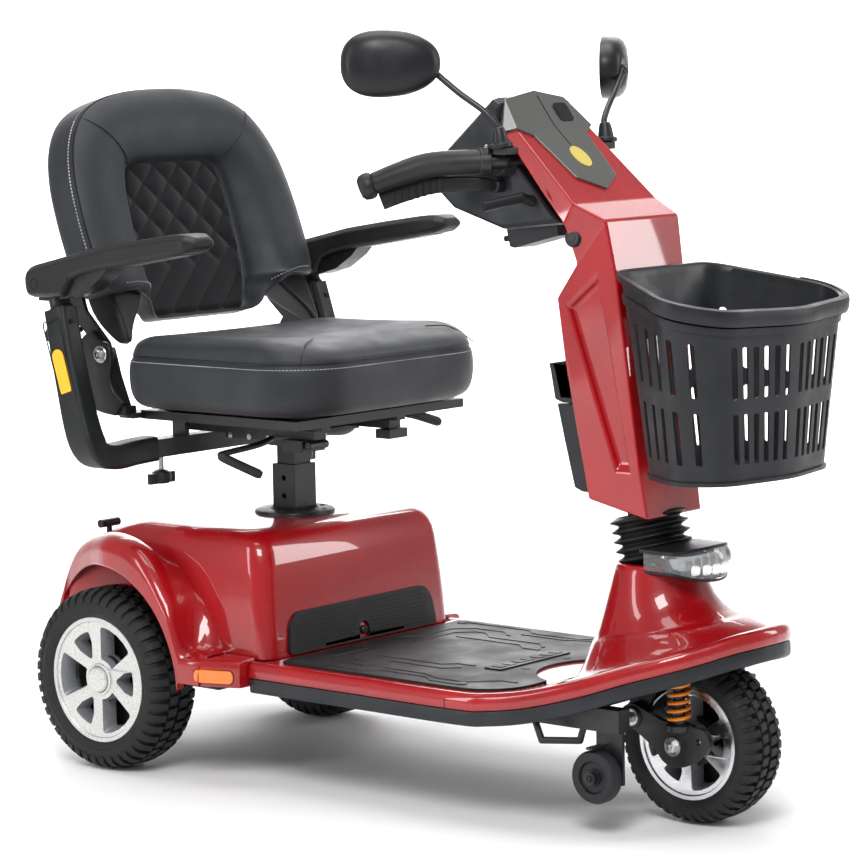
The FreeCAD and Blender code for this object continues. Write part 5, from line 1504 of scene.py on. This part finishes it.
def basket_point(share, t, inset):
    """Point of the basket's wall: share of the way round, share of its height, and distance inwards."""
    place = (share % 1.0) * BASKET_STEPS
    k = int(place) % BASKET_STEPS
    low, high = (plan[k].lerp(plan[(k + 1) % BASKET_STEPS], place - int(place)) for plan in PLANS)
    ahead = PLANS[1][(k + 2) % BASKET_STEPS] - PLANS[1][k - 1]
    inward = Vector((-ahead.y, ahead.x)).normalized()
    if inward.dot(Vector((0, -0.045)) - high) < 0:
        inward = -inward
    p = low.lerp(high, t) + inward * inset
    return Vector((p.x, p.y, rim_z(p.y, t)))


def basket():
    """Slotted plastic basket: wall with two rows of slots, rolled rim, floor, hook and handle band."""
    groups = [(0.125, 0.300, 6), (0.368, 0.482, 6), (0.518, 0.632, 6), (0.700, 0.875, 6), (0.935, 1.065, 6)]
    holes = []
    for start, end, count in groups:
        for k in range(count):
            middle = lerp(start, end, k / (count - 1))
            for low, high in ((0.110, 0.405), (0.490, 0.790)):
                holes.append(slot_loop(middle, low, high))
    seam = 0.10
    wall = [(seam, 0.0), (seam + 1, 0.0), (seam + 1, 0.985), (seam, 0.985)]
    shape = Shape()
    cuts = [seam + (k + 0.37) / 140 for k in range(140)]
    levels = [0.2413, 0.4471, 0.6107, 0.8303]
    shape.plate([wall] + holes, lambda p: basket_point(p.x, min(max(p.y, 0), 1), p.z), 0.0028, 0, cuts,
                levels)
    ring_count = 160
    rolled = [(0.965, -0.0004), (0.968, -0.0052), (0.982, -0.0066), (0.998, -0.0060), (1.004, -0.0030),
              (1.004, 0.0012),
              (0.996, 0.0032), (0.965, 0.0030)]
    rings = []
    for k in range(ring_count):
        rings.append([basket_point(k / ring_count, t, inset) for t, inset in rolled])
    shape.loft(rings, closed=True)
    ledge = [(0.855, -0.0002), (0.858, -0.0026), (0.900, -0.0030), (0.906, -0.0002), (0.906, 0.001),
             (0.855, 0.001)]
    rings = [[basket_point(k / ring_count, t, inset) for t, inset in ledge] for k in range(ring_count)]
    shape.loft(rings, closed=True)
    lip = [(0.0, -0.0030), (0.020, -0.0034), (0.028, -0.0004), (0.028, 0.002), (0.0, 0.002)]
    rings = [[basket_point(k / ring_count, t, inset) for t, inset in lip] for k in range(ring_count)]
    shape.loft(rings, closed=True)
    floor = [basket_point(k / ring_count, 0.0, 0.0) for k in range(ring_count)]
    shape.prism(floor, (0, 0, 0.0032))
    shape.done("basket_look", SOFT_BLACK, "basket", "grey_trim", ["basket"], 0.0005, 1, 40, 40, weld=0.00005)
    hook = Shape()
    hook.prism_x([(0.050, 0.640), (0.0680, 0.640), (0.0735, 0.6760), (0.0735, 0.690), (0.052, 0.690)],
                 -0.030, 0.030)
    hook.done("basket_hook", SOFT_BLACK, "basket", "grey_trim", bevel=0.0012)
    handle = Shape()
    rings = []
    start, end = 0.232, 0.768
    for k in range(121):
        share = lerp(start, end, k / 120)
        ends = min(k, 120 - k) / 3
        squeeze = math.sqrt(max(0.0, 1 - max(0.0, 1 - ends) ** 2)) if ends < 1 else 1.0
        squeeze = max(squeeze, 0.15)
        middle, tall = 0.962, 0.050 * squeeze
        section = [(middle - tall, -0.0015), (middle - tall * 0.9, -0.0098), (middle - tall * 0.4, -0.0112),
                   (middle + tall * 0.4, -0.0112), (middle + tall * 0.9, -0.0098), (middle + tall, -0.0015)]
        rings.append([basket_point(share, t, inset) for t, inset in section])
    handle.loft(rings)
    handle.done("basket_handle_look", SOFT_BLACK, "basket_handle", "grey_trim", ["basket_handle"], 0.0008, 2,
                50, 50)


def slot_loop(share, low, high):
    """Upright slot with rounded ends in the wall's own coordinates."""
    half, tip = 0.0058, 0.012
    points = []
    for s, level in ((1, high), (-1, low)):
        for k in range(7):
            turn = math.pi * k / 6
            points.append((share + s * half * math.cos(turn), level - s * tip + s * tip * math.sin(turn)))
    return points


bellows()
headlight()
suspension()
antitip()
tiller_shell()
display()
rear_pocket()
console()
handlebars()
mirrors()
basket()


# ------------------------------------------------------------------ seat

CUSHION_MIDDLE = Vector((0, 0.672))
CUSHION_HALF, CUSHION_FRONT, CUSHION_REAR = 0.2140, 0.5010, 0.8580
FRONT_CORNER, REAR_CORNER = 0.100, 0.045
SEAM_Z = 0.589


def cushion_outline(inset):
    """Plan of the cushion with big front corners, as 2-D points from the rear corner on the left."""
    half, front, rear = CUSHION_HALF - inset, CUSHION_FRONT + inset, CUSHION_REAR - inset
    fore, aft = max(FRONT_CORNER - inset * 0.6, 0.01), max(REAR_CORNER - inset * 0.6, 0.01)
    corners = ((half - aft, rear - aft, aft, 0), (-half + aft, rear - aft, aft, 90),
               (-half + fore, front + fore, fore, 180), (half - fore, front + fore, fore, 270))
    loop = []
    for x, y, radius, start in corners:
        loop += [Vector(p) for p in arc((x, y), radius, start, start + 90, 14)]
    points = []
    for a, b in zip(loop, loop[1:] + loop[:1]):
        points += [a, a.lerp(b, 0.5)] if (b - a).length > 0.02 else [a]
    return points


def cushion_top(p, z):
    """Top surface: a little dished across the middle and rolled down towards the front."""
    front = smoothstep((0.60 - p.y) / 0.10)
    side = smoothstep((abs(p.x) - 0.10) / 0.10)
    return z + 0.0045 * side - 0.005 * front + 0.004 * smoothstep((0.66 - p.y) / 0.06) * (1 - front)


def seat_cushion():
    """Thick vinyl cushion: side band with a stitched seam under a crowned top panel."""
    shape = Shape()
    band = [(0.050, 0.5155), (0.034, 0.5140), (0.018, 0.5165), (0.008, 0.5235), (0.0030, 0.534),
            (0.0008, 0.548),
            (0.0, 0.562), (0.0005, 0.574), (0.0022, 0.583), (0.0045, 0.5868), (0.0062, SEAM_Z),
            (0.0050, 0.5912),
            (0.0058, 0.595), (0.0090, 0.6010), (0.0150, 0.6070), (0.0240, 0.6115), (0.0360, 0.6140),
            (0.0500, 0.6148)]
    rings = []
    for inset, z in band:
        rings.append([Vector((p.x, p.y, cushion_top(p, z) if z > 0.6 else z))
                      for p in cushion_outline(inset)])
    last = cushion_outline(0.050)
    for share in (0.85, 0.68, 0.5, 0.33, 0.17, 0.04):
        ring = [CUSHION_MIDDLE + (p - CUSHION_MIDDLE) * share for p in last]
        rings.append([Vector((p.x, p.y, cushion_top(p, 0.6148 + 0.0006 * share))) for p in ring])
    shape.loft(rings)
    cushion = shape.done("cushion_cover", LEATHER, "seat", "seat_leather", ["seat_cushion"], smooth=60,
                         subdivide=1)
    threads = Shape()
    line = [Vector((p.x, p.y, SEAM_Z - 0.0062)) for p in cushion_outline(0.0022)]
    threads.stitches(line + line[:1], 0.0052, 0.0032, 0.0010)
    threads.done("cushion_stitches", THREAD, "seat", "seat_leather")
    seams = Shape()
    for side in (-1, 1):
        path = []
        for k in range(14):
            t = k / 13
            p = Vector((side * lerp(0.1855, 0.120, t), lerp(0.5300, 0.565, t)))
            z = lerp(0.5925, 0.6190, math.sin(min(1.0, t * 1.4) * math.pi / 2)) if t < 0.75 else 0.6190
            path.append(Vector((p.x, p.y, z)))
        seams.tube(path, 0.0009, 0, 8)
    piping = [Vector((p.x, p.y, SEAM_Z + 0.0016)) for p in cushion_outline(0.0052)]
    seams.tube(piping + piping[:1], 0.0011, 0, 8)
    seams.done("cushion_seams", BLACK, "seat", "seat_leather", smooth=60)


# ------------------------------------------------------------------ backrest

HINGE = Vector((0, 0.887, 0.591))
RECLINE = math.radians(12.4)
OUTER_HALF = [(0.0, 0.041), (0.055, 0.041), (0.104, 0.043), (0.126, 0.066), (0.166, 0.082), (0.207, 0.081),
              (0.2190, 0.106),
              (0.2215, 0.150), (0.2210, 0.200), (0.215, 0.255), (0.199, 0.303), (0.170, 0.342),
              (0.127, 0.366),
              (0.068, 0.378), (0.0, 0.381)]
INSERT_HALF = [(0.0, 0.047), (0.050, 0.047), (0.098, 0.048), (0.105, 0.074), (0.108, 0.090), (0.1095, 0.100),
               (0.1100, 0.115),
               (0.1100, 0.150), (0.1085, 0.185), (0.1055, 0.225), (0.101, 0.250), (0.094, 0.266),
               (0.078, 0.273),
               (0.042, 0.2745), (0.0, 0.2745)]
INSERT_SPAN = [(0.047, 0.098), (0.074, 0.105), (0.100, 0.1095), (0.150, 0.1100), (0.185, 0.1085),
               (0.225, 0.1055),
               (0.250, 0.101), (0.262, 0.0965), (0.268, 0.090), (0.272, 0.080), (0.2745, 0.060)]
INSERT_Y, SIDE_SEAM_Y, REAR_Y = 0.0075, -0.0085, 0.0570


def on_back(x, y, h):
    """Point of the reclined back: across, backwards from its hinge plane, and height along it.

    The bolsters, band and rear lean back more as they rise. The insert's lower part keeps the plain recline.
    """
    c, s = math.cos(RECLINE), math.sin(RECLINE)
    y += 0.14 * (h - 0.285) * smoothstep((abs(x) - 0.09) / 0.06 if y < 0.03 and h < 0.28 else 1.0)
    return Vector((x, HINGE.y + y * c + h * s, HINGE.z + h * c - y * s))


HALF_STEPS = 6


def both_halves(half):
    """Closed smooth loop from one half of an outline."""
    loop = [Vector((x, h, 0)) for x, h in half] + [Vector((-x, h, 0)) for x, h in half[-2:0:-1]]
    return smooth_path(loop, HALF_STEPS, True)


def back_point(insert, outer, u):
    """Front surface between the insert's edge and the side seam: a soft bolster."""
    p = insert.lerp(outer, u)
    swell = smoothstep((outer - insert).length / 0.075)
    bulge = math.sin(math.pi * min(u, 1.0) ** 0.8) ** 0.75 if 0 < u < 1 else 0.0
    return on_back(p.x, lerp(INSERT_Y, SIDE_SEAM_Y, smoothstep(u)) - 0.025 * swell * bulge, p.y)


def backrest():
    """Arched backrest: bolsters round a sunk quilted insert, a stitched side band and a plain rear panel."""
    outer, insert = both_halves(OUTER_HALF), both_halves(INSERT_HALF)
    centre = Vector((0, 0.20, 0))
    shape = Shape()
    rings = [[on_back(p.x * 0.97, INSERT_Y + 0.010, lerp(centre.y, p.y, 0.97)) for p in insert]]
    rings += [[back_point(a, b, u) for a, b in zip(insert, outer)]
              for u in (0.0, 0.03, 0.08, 0.16, 0.26, 0.38, 0.50, 0.62, 0.74, 0.84, 0.92, 0.97)]
    for grow, y in ((1.0, -0.0095), (0.992, -0.0070), (0.991, -0.0055), (0.997, -0.0035), (1.003, 0.0080),
                    (1.004, 0.0280),
                    (0.998, 0.0420), (0.985, 0.0505), (0.960, 0.0550)):
        rings.append([on_back(p.x * grow, y, lerp(centre.y, p.y, grow)) for p in outer])
    for grow in (0.86, 0.70, 0.5, 0.3, 0.12):
        rings.append([on_back(p.x * grow, REAR_Y - 0.0006, lerp(centre.y, p.y, grow)) for p in outer])
    shape.loft(rings, caps=(True, True))
    cover = shape.done("back_cover", LEATHER, "seat_back", "seat_leather", ["seat_back"], smooth=60,
                       subdivide=1)
    arch = [p for p in outer if p.y > 0.100]
    order = sorted(arch, key=lambda p: math.atan2(p.x, p.y - 0.10))
    threads = Shape()
    threads.stitches([on_back(p.x * 1.004, 0.0005, lerp(centre.y, p.y, 1.004)) for p in order], 0.0052,
                     0.0032, 0.0010)
    for side in (-1, 1):
        hem = [on_back(side * x, y, h) for x, y, h in ((0.128, -0.014, 0.080), (0.147, -0.0275, 0.0880),
                                                       (0.170, -0.0305, 0.0920), (0.192, -0.0265, 0.0920))]
        threads.stitches(smooth_path(hem, 8), 0.0052, 0.003, 0.0009)
    threads.done("back_stitches", THREAD, "seat_back", "seat_leather")
    seams = Shape()
    corner = 11 * HALF_STEPS
    for k in (corner, len(outer) - corner):
        seams.tube([back_point(insert[k], outer[k], u / 16) + Vector((0, -0.0002, 0)) for u in range(1, 17)],
                   0.0010, 0, 8)
    seams.tube([on_back(p.x * 0.998, -0.0062, lerp(centre.y, p.y, 0.998)) for p in order], 0.0013, 0, 8)
    seams.done("back_seams", BLACK, "seat_back", "seat_leather", smooth=60)


def quilted_insert():
    """Sunk panel quilted in diamonds; near the bottom only one family of lines goes on."""
    rows, columns, pitch = 96, 96, 0.0375
    low, high = INSERT_SPAN[0][0], INSERT_SPAN[-1][0]
    rings = []
    for r in range(rows + 1):
        h = lerp(low, high, 1 - (1 - r / rows) ** 1.25)
        half = along_table(INSERT_SPAN, h)
        front = []
        for c in range(columns + 1):
            x = lerp(-half, half, c / columns)
            rise = (h - low) * 0.80
            first = abs(math.sin(math.pi * (x * 0.72 - rise * 0.92) / pitch)) ** 0.55
            second = abs(math.sin(math.pi * (x * 0.72 + rise * 0.92 + 0.012) / pitch)) ** 0.55
            second = lerp(1.0, second, smoothstep((h - 0.105) / 0.03))
            edge = min(1.0, min(c, columns - c) / 4, (h - low) / 0.008, (high - h) / 0.008)
            front.append(on_back(x, INSERT_Y + 0.0030 - 0.0068 * first * second * smoothstep(edge), h))
        back = [on_back(lerp(half, -half, k / 8), INSERT_Y + 0.009, h) for k in range(9)]
        rings.append(front + back)
    made = Shape().loft(rings).done("back_insert", QUILT, "seat_back", "seat_leather", smooth=50)


def hinge_covers():
    """Sleeves from under the hems down to the hinges, and the curved brackets that hold the hinge bolts."""
    for word, side in SIDES:
        sleeve = Shape()
        rings = []
        for h, x0, x1, y0, y1 in ((0.112, 0.136, 0.200, 0.000, 0.050), (0.086, 0.136, 0.203, -0.004, 0.050),
                                  (0.062, 0.152, 0.2035, -0.006, 0.048), (0.040, 0.174, 0.2035, -0.008,
                                                                          0.038),
                                  (0.022, 0.187, 0.2035, -0.009, 0.024), (0.006, 0.190, 0.2030, -0.008,
                                                                          0.010)):
            ring = [(x + (x0 + x1) / 2, y + (y0 + y1) / 2) for x, y in rounded((x1 - x0) / 2, (y1 - y0) / 2,
                                                                               0.006, 4)]
            rings.append([on_back(side * x, y, h) for x, y in ring])
        sleeve.loft(rings)
        sleeve.done("hinge_sleeve_" + word, BLACK, "seat_back", "black_plastic", smooth=50, subdivide=1)
        bracket = Shape()
        outside = smooth_path([(0.862, 0.504, 0), (0.905, 0.512, 0), (0.933, 0.541, 0), (0.940, 0.580, 0),
                               (0.926, 0.612, 0),
                               (0.905, 0.624, 0)], 6)
        inside = smooth_path([(0.893, 0.612, 0), (0.872, 0.604, 0), (0.868, 0.584, 0), (0.872, 0.560, 0),
                              (0.862, 0.536, 0),
                              (0.846, 0.524, 0)], 6)
        outline = [(p.x, p.y) for p in outside + inside]
        bracket.prism_x(outline, side * 0.2068, side * 0.2145)
        bracket.box(span(side, 0.186, 0.2100), (0.846, 0.872), (0.504, 0.518))
        bracket.done("hinge_bracket_" + word, FRAME_BLACK, "seat", "frame_paint", bevel=0.0022, segments=4,
                     smooth=50)
        head = Shape()
        head.lathe((side * 0.2140, HINGE.y, HINGE.z), (side, 0, 0), [(0, 0.0120), (0.002, 0.0125),
                                                                     (0.0032, 0.0115),
                   (0.0034, 0.0080), (0.0060, 0.0075), (0.0066, 0.0066), (0.0056, 0.0040), (0.0046, 0.0038),
                                                                     (0.0046, 0.0001)], 0, 32)
        head.done("hinge_bolt_" + word, STEEL, "seat", "bolt_steel", smooth=35)


# ------------------------------------------------------------------ armrests

REST_X = 0.262
REST_PIVOT = Vector((0, 0.943, 0.693))
PAD_STATIONS = [(0.9600, 0.6890, 0.7080, 0.0262), (0.9540, 0.6770, 0.7170, 0.0292), (0.9420, 0.6750, 0.7210,
                                                                                     0.0300),
                (0.8850, 0.6780, 0.7335, 0.0300), (0.8700, 0.7020, 0.7368, 0.0300), (0.8500, 0.7095, 0.7412,
                                                                                     0.0300),
                (0.8200, 0.7160, 0.7480, 0.0300), (0.7400, 0.7285, 0.7600, 0.0300), (0.6800, 0.7380, 0.7680,
                                                                                     0.0300),
                (0.6620, 0.7415, 0.7700, 0.0300), (0.6450, 0.7445, 0.7700, 0.0275), (0.6330, 0.7500, 0.7655,
                                                                                     0.0215),
                (0.6285, 0.7540, 0.7610, 0.0170)]
POST_PATH = [(0.168, 0.8390, 0.4550), (0.205, 0.8415, 0.4530), (0.238, 0.8470, 0.4500), (0.2590, 0.8550,
                                                                                         0.4550),
             (0.2675, 0.8640, 0.4715), (0.2690, 0.8740, 0.5000), (0.2685, 0.8860, 0.5450), (0.2670, 0.8990,
                                                                                            0.5935),
             (0.2630, 0.9155, 0.6580)]
LEAN = Vector((0, 0.915 - 0.844, 0.660 - 0.434)).normalized()


def armrest(word, side):
    """Long moulded pad with chamfered edges and a deep rear end round its pivot, over a steel channel."""
    pad = Shape()
    rings = []
    for y, low, high, half in PAD_STATIONS:
        edge = min(0.0075, (high - low) * 0.32)
        section = [(-half + 0.006, low), (half - 0.006, low), (half, low + edge * 0.7), (half, high - edge),
                   (half - 0.008, high),
                   (-half + 0.008, high), (-half, high - edge), (-half, low + edge * 0.7)]
        rings.append([Vector((side * REST_X + x, y, z)) for x, z in section])
    pad.loft(rings)
    made = pad.done("armrest_pad_" + word, PAD, "armrest_" + word, "black_plastic", ["armrest_" + word],
                    0.0020, 4, 12, 38)
    steel = Shape()
    x = side * REST_X
    steel.prism_x([(0.8850, 0.6750), (0.9000, 0.6735), (0.9000, 0.7000), (0.8000, 0.7215), (0.8150, 0.7060),
                   (0.8480, 0.6850)],
                  x - 0.0175, x + 0.0175)
    # Pivot caps with near-black centres (material 1): painted shade in the pivot holes.
    for tone in (-1, 1):
        centre = Vector((x + tone * 0.0296, REST_PIVOT.y - 0.006, REST_PIVOT.z + 0.001))
        steel.lathe(centre, (tone, 0, 0), [(0, 0.0085), (0.0007, 0.0082), (0.0008, 0.0068), (0.0001, 0.0062),
                                           (0.0001, 0.0001)],
                    1, 36)
    recess = [(px + x, py + 0.765) for px, py in rounded(0.020, 0.105, 0.010, 5)]
    steel.plate([recess], lambda p: Vector((p.x, p.y, under_pad(p.y) - 0.0009 + p.z)), 0.0012, 2,
                cuts_y=[0.66 + 0.02 * k for k in range(11)])
    steel.done("armrest_steel_" + word, [FRAME_BLACK, HOLE_SHADE, TRIM], "armrest_" + word, "frame_paint",
               bevel=0.0008)


def under_pad(y):
    return along_table(sorted((station[0], station[1]) for station in PAD_STATIONS), y)


def armrest_post(word, side):
    """Moulded elbow post with a boot at its top, a reflector in its outer face and a wing knob behind."""
    post = Shape()
    path = smooth_path([(side * x, y, z) for x, y, z in POST_PATH], 6)
    rings = []
    for k, p in enumerate(path):
        ahead = (path[min(k + 1, len(path) - 1)] - path[max(k - 1, 0)]).normalized()
        share = k / (len(path) - 1)
        deep = lerp(0.0185, 0.0240, smoothstep(share / 0.5)) - 0.0035 * smoothstep((share - 0.5) / 0.5)
        wide = lerp(0.0180, 0.0165, share)
        across = Vector((0, 1, 0))
        across = (across - ahead * across.dot(ahead)).normalized()
        other = across.cross(ahead)
        rings.append([p + across * a + other * b for a, b in rounded(deep, wide, 0.0075, 5)])
    post.loft(rings)
    top = Vector((side * REST_X, 0.9135, 0.6575))
    post.lathe(top, LEAN, [(-0.004, 0.0170), (0.002, 0.0172), (0.0045, 0.0160), (0.0060, 0.0148),
                           (0.0080, 0.0150),
                           (0.0100, 0.0140), (0.0110, 0.0098)], 0, 40)
    # Shallow screw holes filled with the near-black material: painted shade in the holes.
    for h, depth in ((0.030, -0.012), (0.052, -0.004), (0.030, 0.010)):
        spot = top - LEAN * h + Vector((-side * 0.0160, depth, 0))
        post.lathe(spot, (-side, 0, 0), [(0, 0.0042), (0.0004, 0.0042), (0.0006, 0.0034), (-0.0004, 0.0030),
                                         (-0.0004, 0.0001)], 1, 20)
    front_hole = top - LEAN * 0.016 + Vector((side * 0.0060, -0.0200, 0))
    post.lathe(front_hole, (0, -1, 0.3), [(0, 0.0036), (0.0005, 0.0036), (0.0004, 0.0001)], 1, 20)
    post.done("armrest_post_look_" + word, [TRIM_DARK, HOLE_SHADE], "armrest_post_" + word, "black_plastic",
              ["armrest_post_" + word],
              0.0008, 2, 30, 45)
    across = Vector((0, LEAN.z, -LEAN.y))

    def on_face(middle, lift):
        return lambda p: middle + across * p.x + LEAN * p.y + Vector((side * (lift + p.z), 0, 0))
    middle = Vector((side * (REST_X + 0.0225), 0.8960, 0.5810))
    panel = Shape()
    panel.plate([rounded(0.0160, 0.066, 0.006, 6), rounded(0.0143, 0.0643, 0.0048, 6)],
                on_face(middle, -0.0006), 0.0014)
    panel.done("post_frame_" + word, TRIM_DARK, "armrest_post_" + word, "black_plastic", bevel=0.0005)
    lens = Shape()
    arch = [(-0.0100, -0.040), (0.0100, -0.040), (0.0108, -0.036), (0.0108, 0.012)]
    arch += [(0.0108 * math.cos(math.radians(a)), 0.012 + 0.0108 * math.sin(math.radians(a)))
             for a in range(15, 166, 15)]
    arch += [(-0.0108, 0.012), (-0.0108, -0.036)]
    lens.plate([arch], on_face(middle, -0.0002), 0.0022)
    lens.done("post_reflector_" + word, YELLOW, "armrest_post_" + word, "reflector_yellow", bevel=0.0008,
              segments=3)
    knob = Shape()
    back = top - LEAN * 0.030 + across * 0.0170
    knob.lathe(back, across, [(0, 0.0050), (0.008, 0.0050), (0.008, 0.0100), (0.010, 0.0130),
                              (0.014, 0.0135),
                              (0.0165, 0.0120), (0.018, 0.0070)], 0, 32)
    for turn in (1, -1):
        wing = [(turn * 0.004, -0.0042), (turn * 0.022, -0.0034), (turn * 0.0245, 0.0),
                (turn * 0.022, 0.0034), (turn * 0.004, 0.0042)]
        knob.prism([back + across * 0.0095 + LEAN * a + Vector((b, 0, 0)) for a, b in wing], across * 0.0075)
    knob.done("height_knob_" + word, BLACK, "armrest_post_" + word, "black_plastic", bevel=0.0009)


# ------------------------------------------------------------------ under the seat

def seat_mechanism():
    """Fittings on the slide, the receiver tube and the post that the plain frame does not carry."""
    slide = Shape()
    for x in (-0.080, 0.080):
        outer = x + math.copysign(0.0091, x)
        for k in range(9):
            y = 0.655 + 0.0135 * k
            side_x = sorted((outer, outer + math.copysign(0.0012, x)))
            slide.box(side_x, (y, y + 0.0065), (0.4885, 0.4955))
    for x in (-0.135, 0.135):
        slide.box((x - 0.014, x + 0.014), (0.560, 0.840), (0.5065, 0.5135))
        slide.box((x - 0.018, x + 0.018), (0.600, 0.640), (0.4940, 0.5080))
    slide.done("slide_fittings", FRAME_BLACK, "seat", "frame_paint", bevel=0.0008)
    screws = Shape()
    for x in (-0.040, 0.040):
        for y in (SEAT_POST_Y - 0.027, SEAT_POST_Y + 0.027):
            bolt(screws, (x, y, 0.4740), (0, 0, 1), 0.0055, 0, 0.0040)
    for x in (-0.0922, 0.0922):
        for y in (SEAT_POST_Y - 0.037, SEAT_POST_Y, SEAT_POST_Y + 0.037):
            bolt(screws, (x, y, 0.471), (x, 0, 0), 0.0028, 0, 0.0020)
    screws.done("swivel_screws", STEEL, "swivel", "bolt_steel", bevel=0.0003)
    lock = Shape()
    lock.box((-0.104, -0.056), (0.604, 0.640), (0.4560, 0.4735))
    lock.box((0.060, 0.100), (0.585, 0.612), (0.4600, 0.4735))
    lock.rod((-0.100, 0.598, 0.4660), (-0.060, 0.598, 0.4660), 0.0062, 0, 20, 0.0012)
    lock.done("swivel_lock", FRAME_BLACK, "swivel", "frame_paint", bevel=0.0012)
    for word, side in SIDES:
        wing = Shape()
        base = Vector((side * 0.150, 0.837, 0.4030))
        profile = [(0, 0.0110), (0.002, 0.0135), (0.010, 0.0150), (0.016, 0.0130), (0.019, 0.0080),
                   (0.020, 0.0045)]
        wing.lathe(base, (0, 0, 1), profile, 0, 28)
        for turn in (0, math.pi):
            ahead = Vector((math.cos(turn), math.sin(turn), 0))
            cross = Vector((-ahead.y, ahead.x, 0))
            blade = [(0.006, -0.0050), (0.024, -0.0042), (0.0265, 0.0), (0.024, 0.0042), (0.006, 0.0050)]
            wing.prism([base + ahead * a + cross * b for a, b in blade], (0, 0, 0.0150))
        wing.rod(base + Vector((0, 0, 0.0195)), base + Vector((0, 0, 0.0425)), 0.0038, 1, 20)
        for k in range(14):
            wing.lathe(base + Vector((0, 0, 0.0205 + 0.0015 * k)), (0, 0, 1), [(0, 0.0038), (0.0005, 0.0043),
                                                                               (0.0010, 0.0038)], 1, 20)
        wing.done("width_knob_look_" + word, [BLACK, STEEL], "width_knob_" + word, "black_plastic",
                  ["width_knob_" + word], 0.0010)
    bent_lever("swivel_lever", [(-0.094, 0.672, 0.471), (-0.128, 0.668, 0.466), (-0.186, 0.678, 0.4595),
                                (-0.192, 0.674, 0.4575), (-0.190, 0.668, 0.4530), (-0.150, 0.640, 0.428)],
               14, 0.0068, 0.0052)
    bent_lever("slide_lever", [(0.096, 0.640, 0.492), (0.120, 0.630, 0.491), (0.150, 0.618, 0.486),
                               (0.196, 0.606, 0.470)], 12, 0.0072, 0.0055)


def bent_lever(node, points, grip_points, girth, tip_girth):
    """Steel rod bent through points, with a rubber sleeve over its last stretch."""
    path = smooth_path(points, 8)
    lever = Shape().tube(path, 0.0045, 0, 16)
    lever.tube(path[-grip_points:], lambda t: girth if 0.04 < t < 0.97 else tip_girth, 1, 18)
    lever.done(node + "_look", [FRAME_BLACK, GRIP], node, "frame_paint", [node], smooth=50)


seat_cushion()
backrest()
quilted_insert()
hinge_covers()
for rest_word, rest_side in SIDES:
    armrest(rest_word, rest_side)
    armrest_post(rest_word, rest_side)
    keep("armrest_riser_" + rest_word, FRAME_BLACK)
seat_mechanism()
for plain_node in ("frame", "seat_post_outer", "seat_post_inner", "swivel_base", "seat_frame", "back_arms"):
    keep(plain_node, FRAME_BLACK)
keep("batteries", TRIM, 0.003)
keep("controller", BLACK, 0.002)
keep("transaxle", CAST, 0.002)
keep("freewheel_lever", BLACK)


# ------------------------------------------------------------------ room, light and camera

def studio():
    """Seamless pale sweep, turned with the camera; the white world and the large soft lights are made by
    world() and area_light().
    """
    sweep = Shape()
    floor_half, back, rise, bend = 9.0, 7.0, 6.0, 2.0
    profile = [(-9.0, 0.0), (back - bend, 0.0)]
    profile += [(back - bend + bend * math.sin(math.radians(a)), bend - bend * math.cos(math.radians(a)))
                for a in range(6, 91, 6)]
    profile += [(back, rise)]
    sweep.loft([[Vector((x, y, z - 0.0002)) for y, z in profile] for x in (-floor_half, floor_half)],
               loop=False)
    paper = material("paper", (0.93, 0.93, 0.93), 0.75, spec=0.2)
    fibre = texture(paper, "ShaderNodeTexNoise", 3, 4)
    ramp(paper, fibre.outputs["Fac"], "Roughness", grey(0.7), grey(0.8))
    made = sweep.done("studio_sweep", paper, None, smooth=60)
    made.rotation_euler = (0, 0, math.radians(CAMERA_AZIMUTH))


def area_light(name, place, target, size, power, size_y=None):
    data = bpy.data.lights.new(name, "AREA")
    data.energy = power
    data.size = size
    if size_y:
        data.shape = "RECTANGLE"
        data.size_y = size_y
    obj = bpy.data.objects.new(name, data)
    bpy.context.scene.collection.objects.link(obj)
    obj.location = place
    obj.rotation_euler = (Vector(target) - Vector(place)).to_track_quat("-Z", "Y").to_euler()


def camera():
    data = bpy.data.cameras.new("camera")
    data.sensor_width = 36
    data.lens = 134.97
    obj = bpy.data.objects.new("camera", data)
    bpy.context.scene.collection.objects.link(obj)
    azimuth, elevation, roll = (math.radians(a) for a in (CAMERA_AZIMUTH, 6.700, -1.058))
    back = Vector((math.sin(azimuth) * math.cos(elevation), -math.cos(azimuth) * math.cos(elevation),
                   math.sin(elevation)))
    right = Vector((math.cos(azimuth), math.sin(azimuth), 0))
    up = back.cross(right)
    turned_right = right * math.cos(roll) + up * math.sin(roll)
    turned_up = up * math.cos(roll) - right * math.sin(roll)
    axes = Matrix((turned_right, turned_up, back)).transposed()
    obj.matrix_world = Matrix.Translation(at(-3.388, -2.424, 1.010)) @ axes.to_4x4()
    bpy.context.scene.camera = obj


def world():
    made = bpy.data.worlds.new("studio")
    made.use_nodes = True
    made.node_tree.nodes["Background"].inputs["Color"].default_value = (1, 1, 1, 1)
    made.node_tree.nodes["Background"].inputs["Strength"].default_value = 0.32
    bpy.context.scene.world = made


CAMERA_AZIMUTH = -49.614
bpy.context.scene.view_settings.view_transform = "Standard"
studio()
world()
camera()
area_light("key", (-2.4, -1.7, 3.0), (0, 0, 0.4), 1.4, 92)
area_light("left_strip", (-3.4, 1.9, 1.6), (0, 0.1, 0.5), 0.7, 42, 2.6)
area_light("right_strip", (2.6, -2.6, 1.8), (0, -0.1, 0.4), 0.7, 42, 2.4)
area_light("top", (0.2, 0.3, 3.6), (0, 0, 0.3), 2.6, 85)
area_light("backdrop", (3.6, 3.1, 4.2), (5.4, 4.6, 0.6), 4.0, 420)
